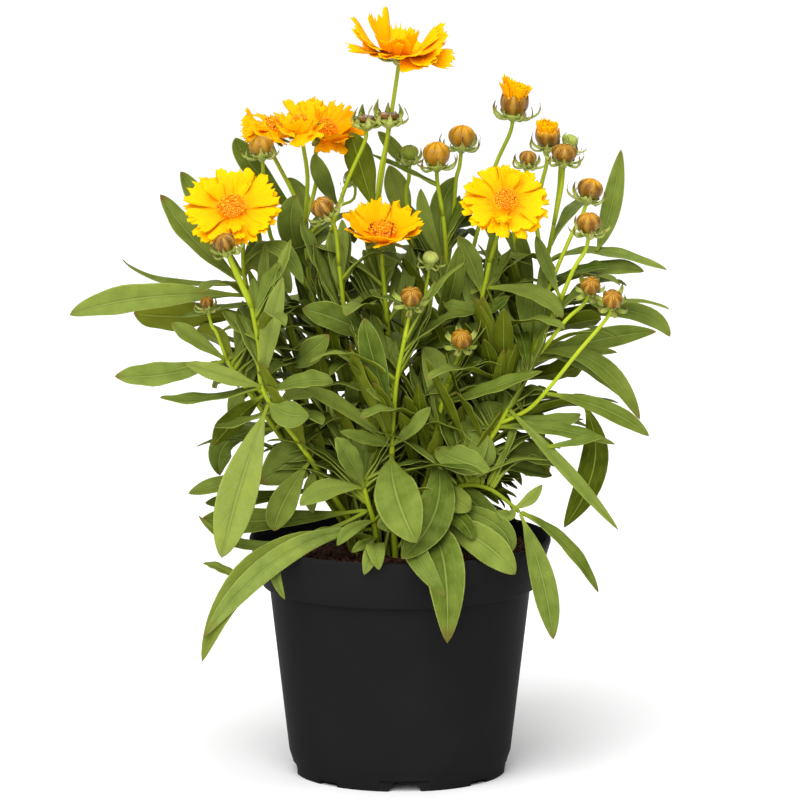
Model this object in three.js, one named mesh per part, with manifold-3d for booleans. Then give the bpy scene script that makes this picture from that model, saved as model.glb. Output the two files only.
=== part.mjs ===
// Coreopsis in a round black nursery pot. Millimetres, +Z up, the front faces -Y.
// The origin is the centre of the flat pad under the pot, where the pot stands.
import * as THREE from "three";
import Module from "manifold-3d";

const wasm = await Module();
wasm.setup();

// ---- Driving dimensions ----
const rimRadius = 95; // a 19 cm pot
const potHeight = 150;
const potSides = 32;
const soilHeight = 140; // the soil stops 10 mm under the rim
const soilSides = 16;
const gap = 0.3; // clear space between pieces that touch
const stemBury = 22; // how deep a stem stands in its hole
const stemRise = 4; // how far it stands straight above the soil
const holeRadius = 3.2;
const stemRadius = 2.2;
const stalkRadius = 1.65; // of a flower stalk
const stemSides = 5;
const stalkSides = 4;
const bladeThickness = 1.3;
const petalThickness = 1.1;
const drawingTilt = 9.3; // the front elevation looks down by this many degrees
const goldenAngle = 137.5;

// ---- Places on the front elevation ----
// A place is [across, up, depth]: across and up as drawn from the front, depth behind the axis.
const toRadians = (degrees) => degrees * Math.PI / 180;
const tiltSin = Math.sin(toRadians(drawingTilt));
const tiltCos = Math.cos(toRadians(drawingTilt));
const place = ([across, up, depth]) =>
  new THREE.Vector3(across, depth, (up - depth * tiltSin) / tiltCos);
// A heading is [across, up, towards the front], made one long.
const heading = ([across, up, front]) => new THREE.Vector3(
  across, up * tiltSin - front * tiltCos, up * tiltCos + front * tiltSin).normalize();
const up = new THREE.Vector3(0, 0, 1);

// ---- One seeded draw for everything that varies ----
let seed = 20417;
function draw() {
  seed = (seed * 16807) % 2147483647;
  return seed / 2147483647;
}

// ---- Solids from rings of points ----
const key = (point) => point.toArray().map((value) => value.toFixed(4)).join(" ");

function closedSolid(points, faces) {
  const merged = new Map();
  const index = points.map((point) => {
    if (!merged.has(key(point))) merged.set(key(point), merged.size);
    return merged.get(key(point));
  });
  const corners = [...merged.keys()].map((text) => text.split(" ").map(Number));
  let kept = faces.map((face) => face.map((corner) => index[corner]));
  kept = kept.filter(([a, b, c]) => a !== b && b !== c && c !== a);
  let volume = 0;
  for (const face of kept) {
    const [a, b, c] = face.map((corner) => new THREE.Vector3(...corners[corner]));
    volume += a.dot(b.cross(c));
  }
  if (volume < 0) kept = kept.map(([a, b, c]) => [a, c, b]);
  return new wasm.Manifold(new wasm.Mesh({
    numProp: 3,
    vertProperties: new Float32Array(corners.flat()),
    triVerts: new Uint32Array(kept.flat()),
  }));
}

// Rings have the same number of points, or one where the form comes to a point.
// The second half of each ring is split the other way, so that both faces of a blade match.
function loft(rings, { capStart = true, capEnd = true } = {}) {
  const faces = [];
  let start = 0;
  for (let ring = 1; ring < rings.length; ring++) {
    const before = rings[ring - 1].length;
    const after = rings[ring].length;
    const next = start + before;
    const sides = Math.max(before, after);
    for (let side = 0; side < sides; side++) {
      const far = (side + 1) % sides;
      const a = start + (before > 1 ? side : 0);
      const b = start + (before > 1 ? far : 0);
      const c = next + (after > 1 ? far : 0);
      const d = next + (after > 1 ? side : 0);
      if (before === 1 || after === 1) faces.push(before === 1 ? [a, c, d] : [a, b, c]);
      else if (side < sides / 2) faces.push([a, b, c], [a, c, d]);
      else faces.push([a, b, d], [b, c, d]);
    }
    start = next;
  }
  for (let side = 1; side < rings[0].length - 1 && capStart; side++) faces.push([0, side + 1, side]);
  for (let side = 1; side < rings.at(-1).length - 1 && capEnd; side++) {
    faces.push([start, start + side, start + side + 1]);
  }
  return closedSolid(rings.flat(), faces);
}

// A turned form about the axis through base along axis: profile rows are [radius, height].
// ripple(side, row) moves a point out from its radius.
function turned(base, axis, profile, sides, ripple = () => 0) {
  const turn = new THREE.Quaternion().setFromUnitVectors(up, axis);
  const rings = profile.map(([radius, height], row) => {
    const count = radius === 0 ? 1 : sides;
    return Array.from({ length: count }, (_, side) => {
      const angle = 2 * Math.PI * side / sides;
      const reach = radius === 0 ? 0 : radius + ripple(side, row);
      const point = new THREE.Vector3(reach * Math.cos(angle), reach * Math.sin(angle), height);
      return point.applyQuaternion(turn).add(base);
    });
  });
  return loft(rings);
}

// ---- Curves ----
// A smooth curve through its points, from share 0 to 1.
function alongCurve(points, share) {
  const last = points.length - 1;
  const span = Math.min(Math.floor(share * last), last - 1);
  const t = share * last - span;
  const [p0, p1, p2, p3] = [span - 1, span, span + 1, span + 2]
    .map((index) => points[Math.min(Math.max(index, 0), last)]);
  const value = new THREE.Vector3();
  value.addScaledVector(p1, 2);
  value.addScaledVector(p2.clone().sub(p0), t);
  value.addScaledVector(
    p0.clone().multiplyScalar(2).addScaledVector(p1, -5).addScaledVector(p2, 4).sub(p3), t * t);
  value.addScaledVector(
    p3.clone().sub(p0).addScaledVector(p1, 3).addScaledVector(p2, -3), t * t * t);
  return value.multiplyScalar(0.5);
}

// ---- Lines: rows of points joined straight, the axes that tubes and leaves are built on ----
const tubeStep = 34; // a stem's line has a point at least this often

function lineThrough(places) {
  const run = places.slice(1).reduce((sum, point, index) => sum + point.distanceTo(places[index]), 0);
  const steps = Math.max(places.length - 1, Math.ceil(run / tubeStep));
  return Array.from({ length: steps + 1 }, (_, step) => alongCurve(places, step / steps));
}

function alongLine(line, share) {
  const step = Math.min(Math.floor(share * (line.length - 1)), line.length - 2);
  return line[step].clone().lerp(line[step + 1], share * (line.length - 1) - step);
}

// The point of the lines nearest to a place on the front elevation.
function nearestPoint(lines, across, height) {
  const drawnUp = (point) => point.z * tiltCos + point.y * tiltSin;
  let best = null;
  let bestDistance = Infinity;
  for (const line of lines) {
    for (let step = 1; step < line.length; step++) {
      const [from, to] = [line[step - 1], line[step]];
      const [runAcross, runUp] = [to.x - from.x, drawnUp(to) - drawnUp(from)];
      const along = (across - from.x) * runAcross + (height - drawnUp(from)) * runUp;
      const share = Math.min(Math.max(along / (runAcross ** 2 + runUp ** 2), 0), 1);
      const point = from.clone().lerp(to, share);
      const distance = Math.hypot(point.x - across, drawnUp(point) - height);
      if (distance < bestDistance - 1e-6) {
        best = point;
        bestDistance = distance;
      }
    }
  }
  return best;
}

// A tube along a line.
function tube(line, startRadius, endRadius, sides) {
  const last = line.length - 1;
  let across = new THREE.Vector3(1, 0, 0);
  const rings = line.map((point, step) => {
    const ahead = line[Math.min(step + 1, last)];
    const behind = line[Math.max(step - 1, 0)];
    const tangent = ahead.clone().sub(behind).normalize();
    across = across.clone().addScaledVector(tangent, -across.dot(tangent)).normalize();
    const side = new THREE.Vector3().crossVectors(tangent, across);
    const radius = startRadius + (endRadius - startRadius) * step / last;
    return Array.from({ length: sides }, (_, corner) => {
      const angle = 2 * Math.PI * corner / sides;
      return point.clone().addScaledVector(across, radius * Math.cos(angle))
        .addScaledVector(side, radius * Math.sin(angle));
    });
  });
  return loft(rings);
}

// ---- Leaves ----
const petioleHalf = 1.1;
const keelRise = 0.18; // the blade's edges stand this share of the half width above its rib

// A leaf's midrib runs from root through mid to tip. Its stations go from the foot of the blade
// at 0 to the tip at 1, and -1 is the root.
function midribAt({ root, mid, tip, stalked }, station) {
  const control = mid.clone().multiplyScalar(2).addScaledVector(root, -0.5).addScaledVector(tip, -0.5);
  const t = station < 0 ? 0 : stalked + (1 - stalked) * station;
  const point = root.clone().multiplyScalar((1 - t) ** 2)
    .addScaledVector(control, 2 * t * (1 - t)).addScaledVector(tip, t * t);
  const tangent = control.clone().sub(root).multiplyScalar(1 - t)
    .addScaledVector(tip.clone().sub(control), t).normalize();
  return { t, point, tangent };
}

// normal is where the upper face looks; extra fattens the blade, to test its clear space.
function leafSolid(leaf, extra = 0) {
  const { tip, width, normal, stations, simple = false } = leaf;
  const rings = stations.map((station) => {
    const { t, point, tangent } = midribAt(leaf, station);
    const face = normal.clone().addScaledVector(tangent, -normal.dot(tangent)).normalize();
    const side = new THREE.Vector3().crossVectors(face, tangent);
    const spread = Math.sin(Math.PI * Math.max(station, 0) ** 1.15) ** 0.85;
    const half = petioleHalf * (1 - t ** 3) + (width / 2 - petioleHalf / 2) * spread + extra;
    const thick = (bladeThickness + 0.6 * (1 - t)) / 2 + extra;
    const edge = point.clone().addScaledVector(face, keelRise * half);
    const ring = [
      edge.clone().addScaledVector(side, half),
      point.clone().addScaledVector(face, thick),
      edge.clone().addScaledVector(side, -half),
      point.clone().addScaledVector(face, -thick),
    ];
    return simple ? ring.filter((_, corner) => corner !== 1) : ring;
  });
  return loft([...rings, [tip.clone()]]);
}

const longLeaf = [-1, 0, 0.3, 0.6, 0.85];
const middleLeaf = [-1, 0.12, 0.48, 0.8];
const shortLeaf = [-1, 0.2, 0.62];
const outerPart = 0.3; // past this station a leaf should not cross its own shoot

// ---- The pot ----
const footRadius = 66.6;
const padRadius = 22;
const potProfile = [
  [0, 0], [padRadius, 0], [padRadius + 2, 4], [57, 4], [59, 0], [footRadius, 0], [68, 8],
  [70, 14], [82.2, 119], [86.5, 119.8], [rimRadius, 147.5], [94.6, potHeight],
  [92.6, potHeight], [84.2, 122.5], [80.3, 117], [67.8, 8], [0, 8],
];
const footGaps = 4;
const footTurn = -90 + 2.6; // the first gap is a little right of the front

// A block between two radii of the foot ring, whose width across may narrow to the top.
function footCut(angle, inner, outer, bottomWidth, topWidth, height) {
  const turn = new THREE.Quaternion().setFromAxisAngle(up, toRadians(angle));
  const ring = (width, z) => [[inner, -1], [outer, -1], [outer, 1], [inner, 1]].map(([radius, side]) =>
    new THREE.Vector3(radius, side * width / 2, z).applyQuaternion(turn));
  return loft([ring(bottomWidth, -1), ring(topWidth, height)]);
}

function potSolid() {
  let pot = turned(new THREE.Vector3(), up, potProfile, potSides);
  for (let index = 0; index < footGaps; index++) {
    const angle = footTurn + 90 * index;
    pot = pot.subtract(footCut(angle, 65.2, 72, 33, 31, 6.9));
    pot = pot.subtract(footCut(angle, 55, 72, 22, 13, 6.3));
    pot = pot.subtract(footCut(angle + 45, 62, 72, 15, 14, 2.7));
  }
  return pot;
}

// ---- The soil ----
const soilProfile = [
  [0, 8.4], [67, 8.4], [79.5, 117.5], [83.2, 123], [88.4, soilHeight - 1],
  [66, soilHeight + 0.5], [38, soilHeight], [0, soilHeight + 1],
];
const soilTopRow = 4;

function soilSolid(holes) {
  const base = new THREE.Vector3();
  const rough = (side, row) => row > soilTopRow ? 2 * Math.sin(side * 2.4 + row * 1.7) : 0;
  let soil = turned(base, up, soilProfile, soilSides, rough);
  for (const [x, y] of holes) {
    const floor = new THREE.Vector3(x, y, soilHeight - stemBury - 1);
    soil = soil.subtract(turned(floor, up, [[holeRadius, 0], [holeRadius, stemBury + 8]], 5));
  }
  return soil;
}

// ---- Flower heads ----
const budSides = 8;
const bractCount = 5;

// A green cup that opens into a star of pointed bracts; each place is [radius, height].
function starCup(centre, axis, { foot, neck, rim, tip, top }) {
  const turn = new THREE.Quaternion().setFromUnitVectors(up, axis);
  const sides = 2 * bractCount;
  const at = (side, [radius, height]) => {
    const angle = 2 * Math.PI * side / sides;
    const point = new THREE.Vector3(radius * Math.cos(angle), radius * Math.sin(angle), height);
    return point.applyQuaternion(turn).add(centre);
  };
  const ring = (pick) => Array.from({ length: sides }, (_, side) => at(side, pick(side)));
  const bract = (side) => {
    const wave = 0.13 * Math.sin(side * 2.3 + centre.x);
    return [tip[0] * (1 + wave), tip[1] * (1 - wave)];
  };
  return loft([
    [at(0, [0, foot])], ring(() => neck), ring((side) => side % 2 ? rim : bract(side)),
    ring(() => top), [at(0, [0, top[1]])],
  ]);
}

const hubSides = 10;
const hubRadius = 9;
const petalStart = 10.5; // a petal stays level under the disc as far as this

// One petal: a wedge with a raised rib and five points along its toothed end. It leaves the
// disc's rim in the direction out and ends reach from the axis and rise above the centre.
function petalSolid({ centre, axis, out, reach, rise, width, curl }) {
  const side = new THREE.Vector3().crossVectors(axis, out);
  const at = (share, across, above, back = 0) => centre.clone()
    .addScaledVector(out, petalStart + (reach - petalStart) * share - back)
    .addScaledVector(axis, (rise - curl) * share + curl * share * share + above)
    .addScaledVector(side, across);
  const baseHalf = 0.19 * width;
  const middleHalf = 0.46 * width;
  const endHalf = 0.55 * width;
  const trough = 0.12 * width;
  const notch = Math.min(3, 0.3 * (reach - petalStart));
  const face = (above) => [at(0, 0, above - 0.2 * baseHalf), at(0.55, 0, above - trough)];
  const end = [-1, -0.5, 0, 0.5, 1].map((share, index) =>
    at(1, share * endHalf, 0.5 * trough * (share * share - 1), notch * (index % 2 || Math.abs(share) / 1.5)));
  const points = [
    centre.clone().addScaledVector(out, hubRadius - 3),
    at(0, -baseHalf, 0), at(0, baseHalf, 0), at(0.55, -middleHalf, 0), at(0.55, middleHalf, 0),
    ...end, ...face(petalThickness / 2), ...face(-petalThickness / 2),
  ];
  const half = (inner, outer) => [
    [0, 1, inner], [0, inner, 2], [1, 3, outer], [1, outer, inner], [inner, outer, 4], [inner, 4, 2],
    [3, 5, 6], [3, 6, outer], [outer, 6, 7], [outer, 7, 8], [outer, 8, 4], [4, 8, 9],
  ];
  return closedSolid(points, [...half(10, 11), ...half(12, 13).map(([a, b, c]) => [a, c, b])]);
}

// The petals of a bloom by rule: count of them, lifted from level, with ends that curl up.
function petalRing({ centre, axis, radius, petals, lift, curl }) {
  const turn = new THREE.Quaternion().setFromUnitVectors(up, axis);
  const start = draw() * 6;
  const width = 2 * Math.PI * (petalStart + 0.55 * (radius - petalStart)) / petals * 1.2;
  return Array.from({ length: petals }, (_, index) => {
    const angle = start + 2 * Math.PI * (index + 0.18 * (draw() - 0.5)) / petals;
    const run = radius * (0.95 + 0.12 * draw()) - petalStart;
    const raised = toRadians(lift + (index % 2 ? 7 : -6) + 6 * (draw() - 0.5));
    return {
      centre, axis, out: new THREE.Vector3(Math.cos(angle), Math.sin(angle), 0).applyQuaternion(turn),
      reach: petalStart + run * Math.cos(raised), rise: run * Math.sin(raised) + curl, width, curl,
    };
  });
}

// The petals of a bloom by list: each row is the place of the petal's end, and its width.
function petalRows({ centre, axis, petals }) {
  return petals.map(([across, height, depth, width]) => {
    const run = place([across, height, depth]).sub(centre);
    const rise = run.dot(axis);
    const out = run.addScaledVector(axis, -rise);
    const reach = out.length();
    return { centre, axis, out: out.normalize(), reach, rise, width, curl: 0 };
  });
}

// Each kind of head gives its pieces: green ones are fused to the shoot, the others are nodes.
// bottom is where the stalk ends, below the head's centre.
function bloomPieces({ name, at, facing, radius, petals, lift, curl, disc }) {
  const centre = place(at);
  const axis = heading(facing);
  const rule = typeof petals === "number" ? petalRing : petalRows;
  const blades = rule({ centre, axis, radius, petals, lift, curl });
  const hub = turned(centre, axis, [[0, -1.2], [hubRadius, 0], [0, 1.1]], hubSides);
  const corolla = blades.reduce((whole, blade) => whole.add(petalSolid(blade)), hub);
  const grain = (side, row) => (side + row) % 2 ? 0.5 : -0.3;
  const discProfile = [[0, 1.5], [disc, 1.6], [disc * 0.6, 3.9], [0, 4.9]];
  const florets = turned(centre, axis, discProfile, hubSides, grain);
  return {
    green: [starCup(centre, axis, {
      foot: -8.5, neck: [5.4, -5], rim: [6, -4.2], tip: [15, -3.5], top: [6.6, -1.9],
    })],
    nodes: [
      { name: `petals_${name}`, colour: petalColour, solid: corolla },
      { name: `disc_${name}`, colour: discColour, solid: florets },
    ],
    bottom: centre.clone().addScaledVector(axis, -7.2),
    axis,
  };
}

// A closed bud: a pleated ball in a small cup, whose bracts spread and rise round it.
// One that opens has a crown of petals [radius, height] standing on it.
function budPieces({ name, at, facing, radius, squash = 0.86, spread = 1, green = false, crown }) {
  const centre = place(at);
  const axis = heading(facing);
  const low = -radius * squash;
  const profile = [[0, low], ...[0.76, 0.5, 0.24].map((share) => [
    radius * Math.sin(Math.PI * share), radius * squash * Math.cos(Math.PI * share),
  ]), [0, radius * squash]];
  const pleat = (side) => side % 2 ? 0.25 : -0.25;
  const ball = turned(centre, axis, profile, budSides, pleat);
  const cup = starCup(centre, axis, {
    foot: low - 4.5, neck: [radius * 0.42, low - 2], rim: [radius * 0.66, low - 0.8],
    tip: [(radius * 1.35 + 3) * spread, low + radius * 0.75], top: [radius * 0.6, low - 0.45],
  });
  const stub = turned(centre, axis, [[1.3, low - 1], [1.3, low + 2]], 4);
  const nodes = green ? [] : [{ name, colour: budColour, solid: ball }];
  if (crown) {
    const [reach, height] = crown;
    const top = radius * squash + gap;
    const crownProfile = [[0, top], [reach * 0.45, top], [reach, top + height],
      [reach * 0.7, top + height * 0.8], [0, top + height * 0.3]];
    const teeth = (side, row) => row === 2 ? 1.2 * Math.sin(side * 2.6) : 0;
    nodes.push({
      name: name.replace("bud", "petals"), colour: petalColour,
      solid: turned(centre, axis, crownProfile, 10, teeth),
    });
  }
  return {
    green: green ? [cup, stub, ball] : [cup],
    nodes,
    bottom: centre.clone().addScaledVector(axis, low - 3.2),
    axis,
  };
}

// A spent or opening head: a flat brown plate that stands in a deep cup of upright bracts.
function cupPieces({ name, at, facing, radius }) {
  const centre = place(at);
  const axis = heading(facing);
  const plateProfile = [[0, -1.4], [radius * 0.86, 0.3], [radius * 0.6, 1.9], [0, 2.3]];
  const plate = turned(centre, axis, plateProfile, budSides);
  const cup = starCup(centre, axis, {
    foot: -8, neck: [radius * 0.6, -5], rim: [radius * 0.95, -2.6], tip: [radius * 1.5, 5],
    top: [radius * 0.8, -1.9],
  });
  return {
    green: [cup],
    nodes: [{ name, colour: budColour, solid: plate }],
    bottom: centre.clone().addScaledVector(axis, -6.8),
    axis,
  };
}

const headKinds = { bloom: bloomPieces, bud: budPieces, cup: cupPieces };

// ---- Colours ----
const potColour = 0x1f1f20;
const soilColour = 0x3b2319;
const leafColour = 0x6f8a38;
const petalColour = 0xffc400;
const discColour = 0xe07a10;
const budColour = 0x8a5526;
const finishes = {
  [potColour]: { roughness: 0.45, metalness: 0 },
  [soilColour]: { roughness: 0.95, metalness: 0 },
  [leafColour]: { roughness: 0.55, metalness: 0 },
  [petalColour]: { roughness: 0.6, metalness: 0 },
  [discColour]: { roughness: 0.8, metalness: 0 },
  [budColour]: { roughness: 0.6, metalness: 0 },
};

// ---- The shoots ----
// base is where the stem stands in the soil [x, y]; stem is its run above the soil.
// heads: the stalk leaves the shoot nearest to its first place and ends at the head.
// leaves: [root across, root up, mid place, tip place, width, lean], lean being the angle of the
// upper face from level (90 faces the front); a lobe grows from the leaves before it.
// fill is how many more leaves are set round the stem by rule, from bottom to top.
const shoots = [
  {
    name: "shoot_low_left", base: [-14, -32],
    stem: [[-16, 156, -38], [-20, 170, -42], [-24, 186, -44]],
    heads: [],
    leaves: [
      [-16, 150, [-71, 139, -64], [-121, 87, -78], 14, 70],
      [-16, 148, [-82, 135, -66], [-122, 72, -84], 17, 65],
      [-95, 120, [-109, 128, -66], [-122, 132, -62], 8, 20, "lobe"],
      [-20, 165, [-84, 141, -52], [-125, 162, -56], 8, 35],
      [-19, 165, [-91, 157, -30], [-123, 160, -34], 16, 60],
      [-75, 146, [-78, 128, -70], [-71, 110, -70], 6, 60, "lobe"],
      [-16, 147, [-42, 149, -50], [-63, 142, -56], 10, 50],
      [-17, 155, [-29, 153, -56], [-39, 143, -62], 8, 60],
      [-15, 144, [-22, 144, -60], [-30, 139, -66], 6, 60],
      [-14, 143, [-17, 141, -84], [-22, 126, -99], 10, 65],
      [-12, 144, [-14, 143, -86], [-13, 129, -100], 11, 65],
      [-22, 180, [-44, 178, -52], [-62, 168, -60], 14, 50],
      [-22, 178, [-30, 196, -52], [-40, 210, -58], 13, 65],
    ],
    fill: 1,
  },
  {
    name: "shoot_low_right", base: [10, -30],
    stem: [[14, 158, -36], [20, 168, -42], [38, 180, -50], [56, 178, -56], [74, 164, -60]],
    heads: [],
    leaves: [
      [15, 148, [27, 140, -88], [29, 84, -106], 24, 75],
      [18, 160, [47, 147, -72], [71, 126, -82], 20, 72],
      [20, 165, [36, 160, -60], [45, 147, -66], 10, 70],
      [22, 168, [57, 157, -68], [68, 139, -76], 13, 70],
      [74, 163, [87, 126, -68], [95, 85, -70], 15, 70],
      [73, 165, [102, 146, -62], [123, 114, -62], 9, 40],
      [72, 167, [80, 172, -58], [88, 181, -58], 7, 60],
      [72, 165, [67, 162, -66], [60, 165, -68], 7, 60],
      [8, 149, [7, 142, -88], [28, 112, -104], 14, 75],
      [12, 152, [-3, 157, -58], [-14, 155, -66], 12, 65],
    ],
    fill: 1,
  },
  {
    name: "shoot_left_front", base: [-20, -14],
    stem: [[-36, 165, -26], [-58, 200, -38], [-84, 238, -50], [-87, 265, -50], [-92, 292, -50]],
    heads: [
      { kind: "bud", name: "bud_left", at: [-108, 330, -60], facing: [-0.3, 0.85, 0.4], radius: 6.5,
        stalk: [[-92, 292, -50]] },
    ],
    leaves: [
      [-86, 232, [-98, 183, -72], [-110, 136, -80], 24, 75],
      [-84, 240, [-107, 248, -62], [-132, 256, -70], 11, 62],
      [-92, 238, [-122, 234, -58], [-148, 235, -64], 14, 16],
      [-84, 241, [-80, 275, -62], [-72, 309, -66], 12, 75],
      [-81, 241, [-60, 245, -62], [-41, 244, -68], 13, 42],
      [-85, 228, [-71, 225, -58], [-56, 224, -62], 17, 70],
      [-88, 233, [-102, 222, -40], [-116, 205, -34], 15, -55],
      [-86, 226, [-100, 219, -48], [-115, 217, -46], 12, 15],
      [-52, 195, [-63, 198, -36], [-87, 181, -46], 28, 62],
      [-60, 195, [-72, 172, -48], [-78, 152, -54], 17, 70],
      [-86, 272, [-100, 279, -34], [-110, 288, -38], 9, 50],
    ],
    fill: 3,
  },
  {
    name: "shoot_left_back", base: [-27, 0],
    stem: [[-45, 170, -4], [-78, 215, -14], [-108, 258, -20]],
    heads: [
      { kind: "bud", name: "bud_far_left", at: [-120, 294, -20], facing: [-0.1, 0.9, 0.35], radius: 4,
        stalk: [[-108, 258, -20], [-114, 275, -20]] },
    ],
    leaves: [
      [-110, 258, [-147, 250, -30], [-177, 248, -38], 16, 55],
      [-108, 260, [-128, 271, -26], [-142, 281, -30], 11, 50],
      [-108, 261, [-97, 264, -10], [-86, 268, -2], 8, 30],
      [-58, 183, [-100, 182, -24], [-132, 175, -30], 13, 40],
      [-55, 178, [-95, 170, -12], [-122, 169, -14], 12, 45],
      [-78, 215, [-108, 208, -6], [-113, 186, -4], 16, 50],
      [-100, 245, [-110, 246, 10], [-118, 241, 20], 10, 50],
      [-95, 252, [-113, 270, 2], [-128, 276, 8], 20, -50],
    ],
    fill: 4,
  },
  {
    name: "shoot_left_high", base: [-16, 4],
    stem: [[-28, 180, 6], [-55, 235, 8], [-84, 280, 4], [-96, 305, -2], [-98, 330, -8]],
    heads: [
      { kind: "bloom", name: "left", at: [-104, 352, -22], facing: [-0.05, 0.6, 0.8], radius: 31,
        petals: 12, lift: 8, curl: 1.5, disc: 8.4, stalk: [[-98, 330, -8]] },
    ],
    leaves: [
      [-97, 299, [-157, 298, -20], [-205, 286, -34], 18, 62],
      [-96, 284, [-138, 285, 4], [-167, 288, 10], 24, -65],
      [-97, 306, [-147, 308, 4], [-173, 321, -6], 9, 18],
      [-97, 303, [-128, 334, 10], [-150, 362, 14], 15, 40],
      [-98, 330, [-122, 356, 26], [-138, 377, 34], 13, 55],
      [-95, 318, [-78, 328, -18], [-60, 305, -30], 12, 35],
      [-95, 315, [-85, 318, -2], [-68, 300, -6], 20, 60],
      [-95, 293, [-115, 290, -16], [-137, 285, -22], 8, 25],
      [-70, 252, [-58, 261, -30], [-44, 274, -36], 15, 70],
    ],
    fill: 4,
  },
  {
    name: "shoot_up_left", base: [-20, 18],
    stem: [[-32, 190, 26], [-46, 250, 34], [-56, 300, 40], [-60, 345, 40]],
    heads: [
      { kind: "bloom", name: "upper_left", at: [-79, 405, 46], facing: [0.35, 0.75, 0.55], disc: 6.5,
        petals: [
          [-88, 415, 60, 15], [-99, 409, 38, 13], [-101, 400, 35, 9], [-91, 394, 27, 14],
          [-80, 396, 29, 12], [-73, 413, 63, 9],
        ], stalk: [[-60, 345, 40], [-68, 365, 44]] },
      { kind: "bloom", name: "upper_front", at: [-62, 405, 6], facing: [-0.1, 0.85, 0.5], disc: 5.5,
        petals: [
          [-61, 425, 22, 15], [-71, 414, 20, 12], [-75, 402, -6, 14], [-57, 394, -12, 14],
          [-50, 402, -6, 11], [-54, 419, 18, 12],
        ], stalk: [[-60, 345, 40], [-58, 372, 24]] },
      { kind: "bloom", name: "upper_right", at: [-48, 404, 50], facing: [0.4, 0.7, 0.6], disc: 7,
        petals: [
          [-46, 423, 66, 15], [-35, 420, 66, 11], [-27, 413, 62, 11], [-21, 395, 53, 15],
          [-41, 389, 33, 15], [-57, 416, 60, 11],
        ], stalk: [[-60, 345, 40], [-53, 370, 46]] },
      { kind: "bud", name: "bud_under_petals", at: [-87, 392, 14], facing: [-0.1, 0.95, 0.2], radius: 7,
        stalk: [[-56, 300, 40], [-79, 330, 32], [-86, 365, 22]] },
      { kind: "cup", name: "cup_upper_left", at: [-21, 409, 22], facing: [0, 0.95, 0.3], radius: 8.2,
        stalk: [[-54, 300, 40], [-45, 334, 32], [-34, 368, 26]] },
      { kind: "bud", name: "young", at: [-31, 375, 56], facing: [-0.4, 0.9, 0.1],
        radius: 4.2, green: true, stalk: [[-58, 335, 40], [-42, 354, 52]] },
    ],
    leaves: [
      [-63, 345, [-91, 378, 32], [-103, 398, 28], 14, 65],
      [-40, 355, [-48, 372, 34], [-54, 388, 32], 11, 70],
      [-60, 315, [-69, 340, 26], [-65, 362, 22], 17, 72],
      [-62, 320, [-53, 321, 34], [-43, 322, 30], 10, 35],
      [-44, 334, [-42, 318, 22], [-41, 301, 20], 14, 65],
      [-58, 346, [-62, 362, 56], [-71, 374, 60], 9, 30],
    ],
    fill: 4,
  },
  {
    name: "shoot_mid_left", base: [-7, -4],
    stem: [[-14, 180, -2], [-24, 225, 2], [-32, 258, 2], [-35, 290, -4], [-38, 318, -10]],
    heads: [
      { kind: "bud", name: "bud_mid_left", at: [-48, 353, -20], facing: [-0.5, 0.7, 0.4], radius: 7,
        stalk: [[-38, 318, -10]] },
    ],
    leaves: [
      [-31, 235, [-33, 248, -12], [-33, 262, -14], 11, 80],
      [-24, 222, [-30, 235, -16], [-25, 246, -20], 9, 70],
      [-35, 290, [-22, 296, 4], [-11, 303, 6], 9, 55],
      [-28, 240, [-52, 240, -12], [-74, 234, -16], 14, 40],
      [-20, 205, [-44, 212, -16], [-68, 214, -26], 15, 55],
    ],
    fill: 3,
  },
  {
    name: "shoot_centre", base: [-3, -24],
    stem: [[-5, 165, -30], [-5, 203, -38], [-4, 222, -42], [-2, 246, -46], [3, 272, -50]],
    heads: [
      { kind: "bud", name: "bud_centre", at: [7, 297, -54], facing: [0.05, 0.65, 0.75], radius: 6.4,
        stalk: [[3, 272, -50]] },
    ],
    leaves: [
      [-1, 202, [-3, 176, -88], [10, 146, -112], 28, 78],
      [-12, 226, [-15.5, 257, -52], [-22, 284, -54], 15, 78],
      [-5, 228, [-6, 250, -34], [-3, 270, -30], 11, 70],
      [-5, 203, [-20, 209, -50], [-37, 214, -58], 8, 60],
      [-2, 205, [8, 217, -50], [19, 229, -56], 9, 60],
      [-4, 230, [-12, 236, -52], [-21, 240, -56], 7, 60],
      [-6, 205, [-36, 228, -40], [-62, 241, -50], 10, 50],
    ],
    fill: 2,
  },
  {
    name: "shoot_mid_high", base: [2, 8],
    stem: [[-2, 190, 10], [-5, 235, 8], [-7, 268, 4], [-9, 295, 0], [-11, 318, -5]],
    heads: [
      { kind: "bloom", name: "middle", at: [-11, 337, -14], facing: [0.02, 0.82, 0.57], radius: 29,
        petals: 10, lift: 44, curl: -1, disc: 8.4, stalk: [[-11, 318, -5]] },
      { kind: "bloom", name: "top", at: [0, 450, 20], facing: [0.12, 0.97, 0.2], disc: 7,
        petals: [
          [-30, 465, 8, 18], [-33, 452, -4, 12], [-15, 478, 30, 15], [-1, 471, 44, 8],
          [15, 463, 42, 14], [30, 462, 24, 14], [35, 446, 10, 13], [15, 439, -8, 17], [1, 463, -2, 15],
        ],
        stalk: [[-5, 235, 8], [-16, 300, 16], [-16, 330, 20], [-13, 362, 22], [-5, 415, 22]] },
      { kind: "cup", name: "cup_upper_right", at: [-7, 410, 4], facing: [0.05, 0.95, 0.3], radius: 8.6,
        stalk: [[-15, 345, 20], [-13, 372, 10]] },
    ],
    leaves: [
      [-8, 268, [-36, 281, -18], [-61, 290, -24], 18, 60],
      [-15, 350, [-25, 380, 34], [-31, 402, 42], 18, -70],
      [-7, 262, [31, 272, -22], [60, 276, -24], 15, 50],
      [-6, 262, [18, 276, -8], [36, 290, -4], 9, 55],
    ],
    fill: 4,
  },
  {
    name: "shoot_right_centre", base: [9, -14],
    stem: [[15, 172, -22], [20, 200, -30], [24, 222, -36], [30, 245, -42]],
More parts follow.
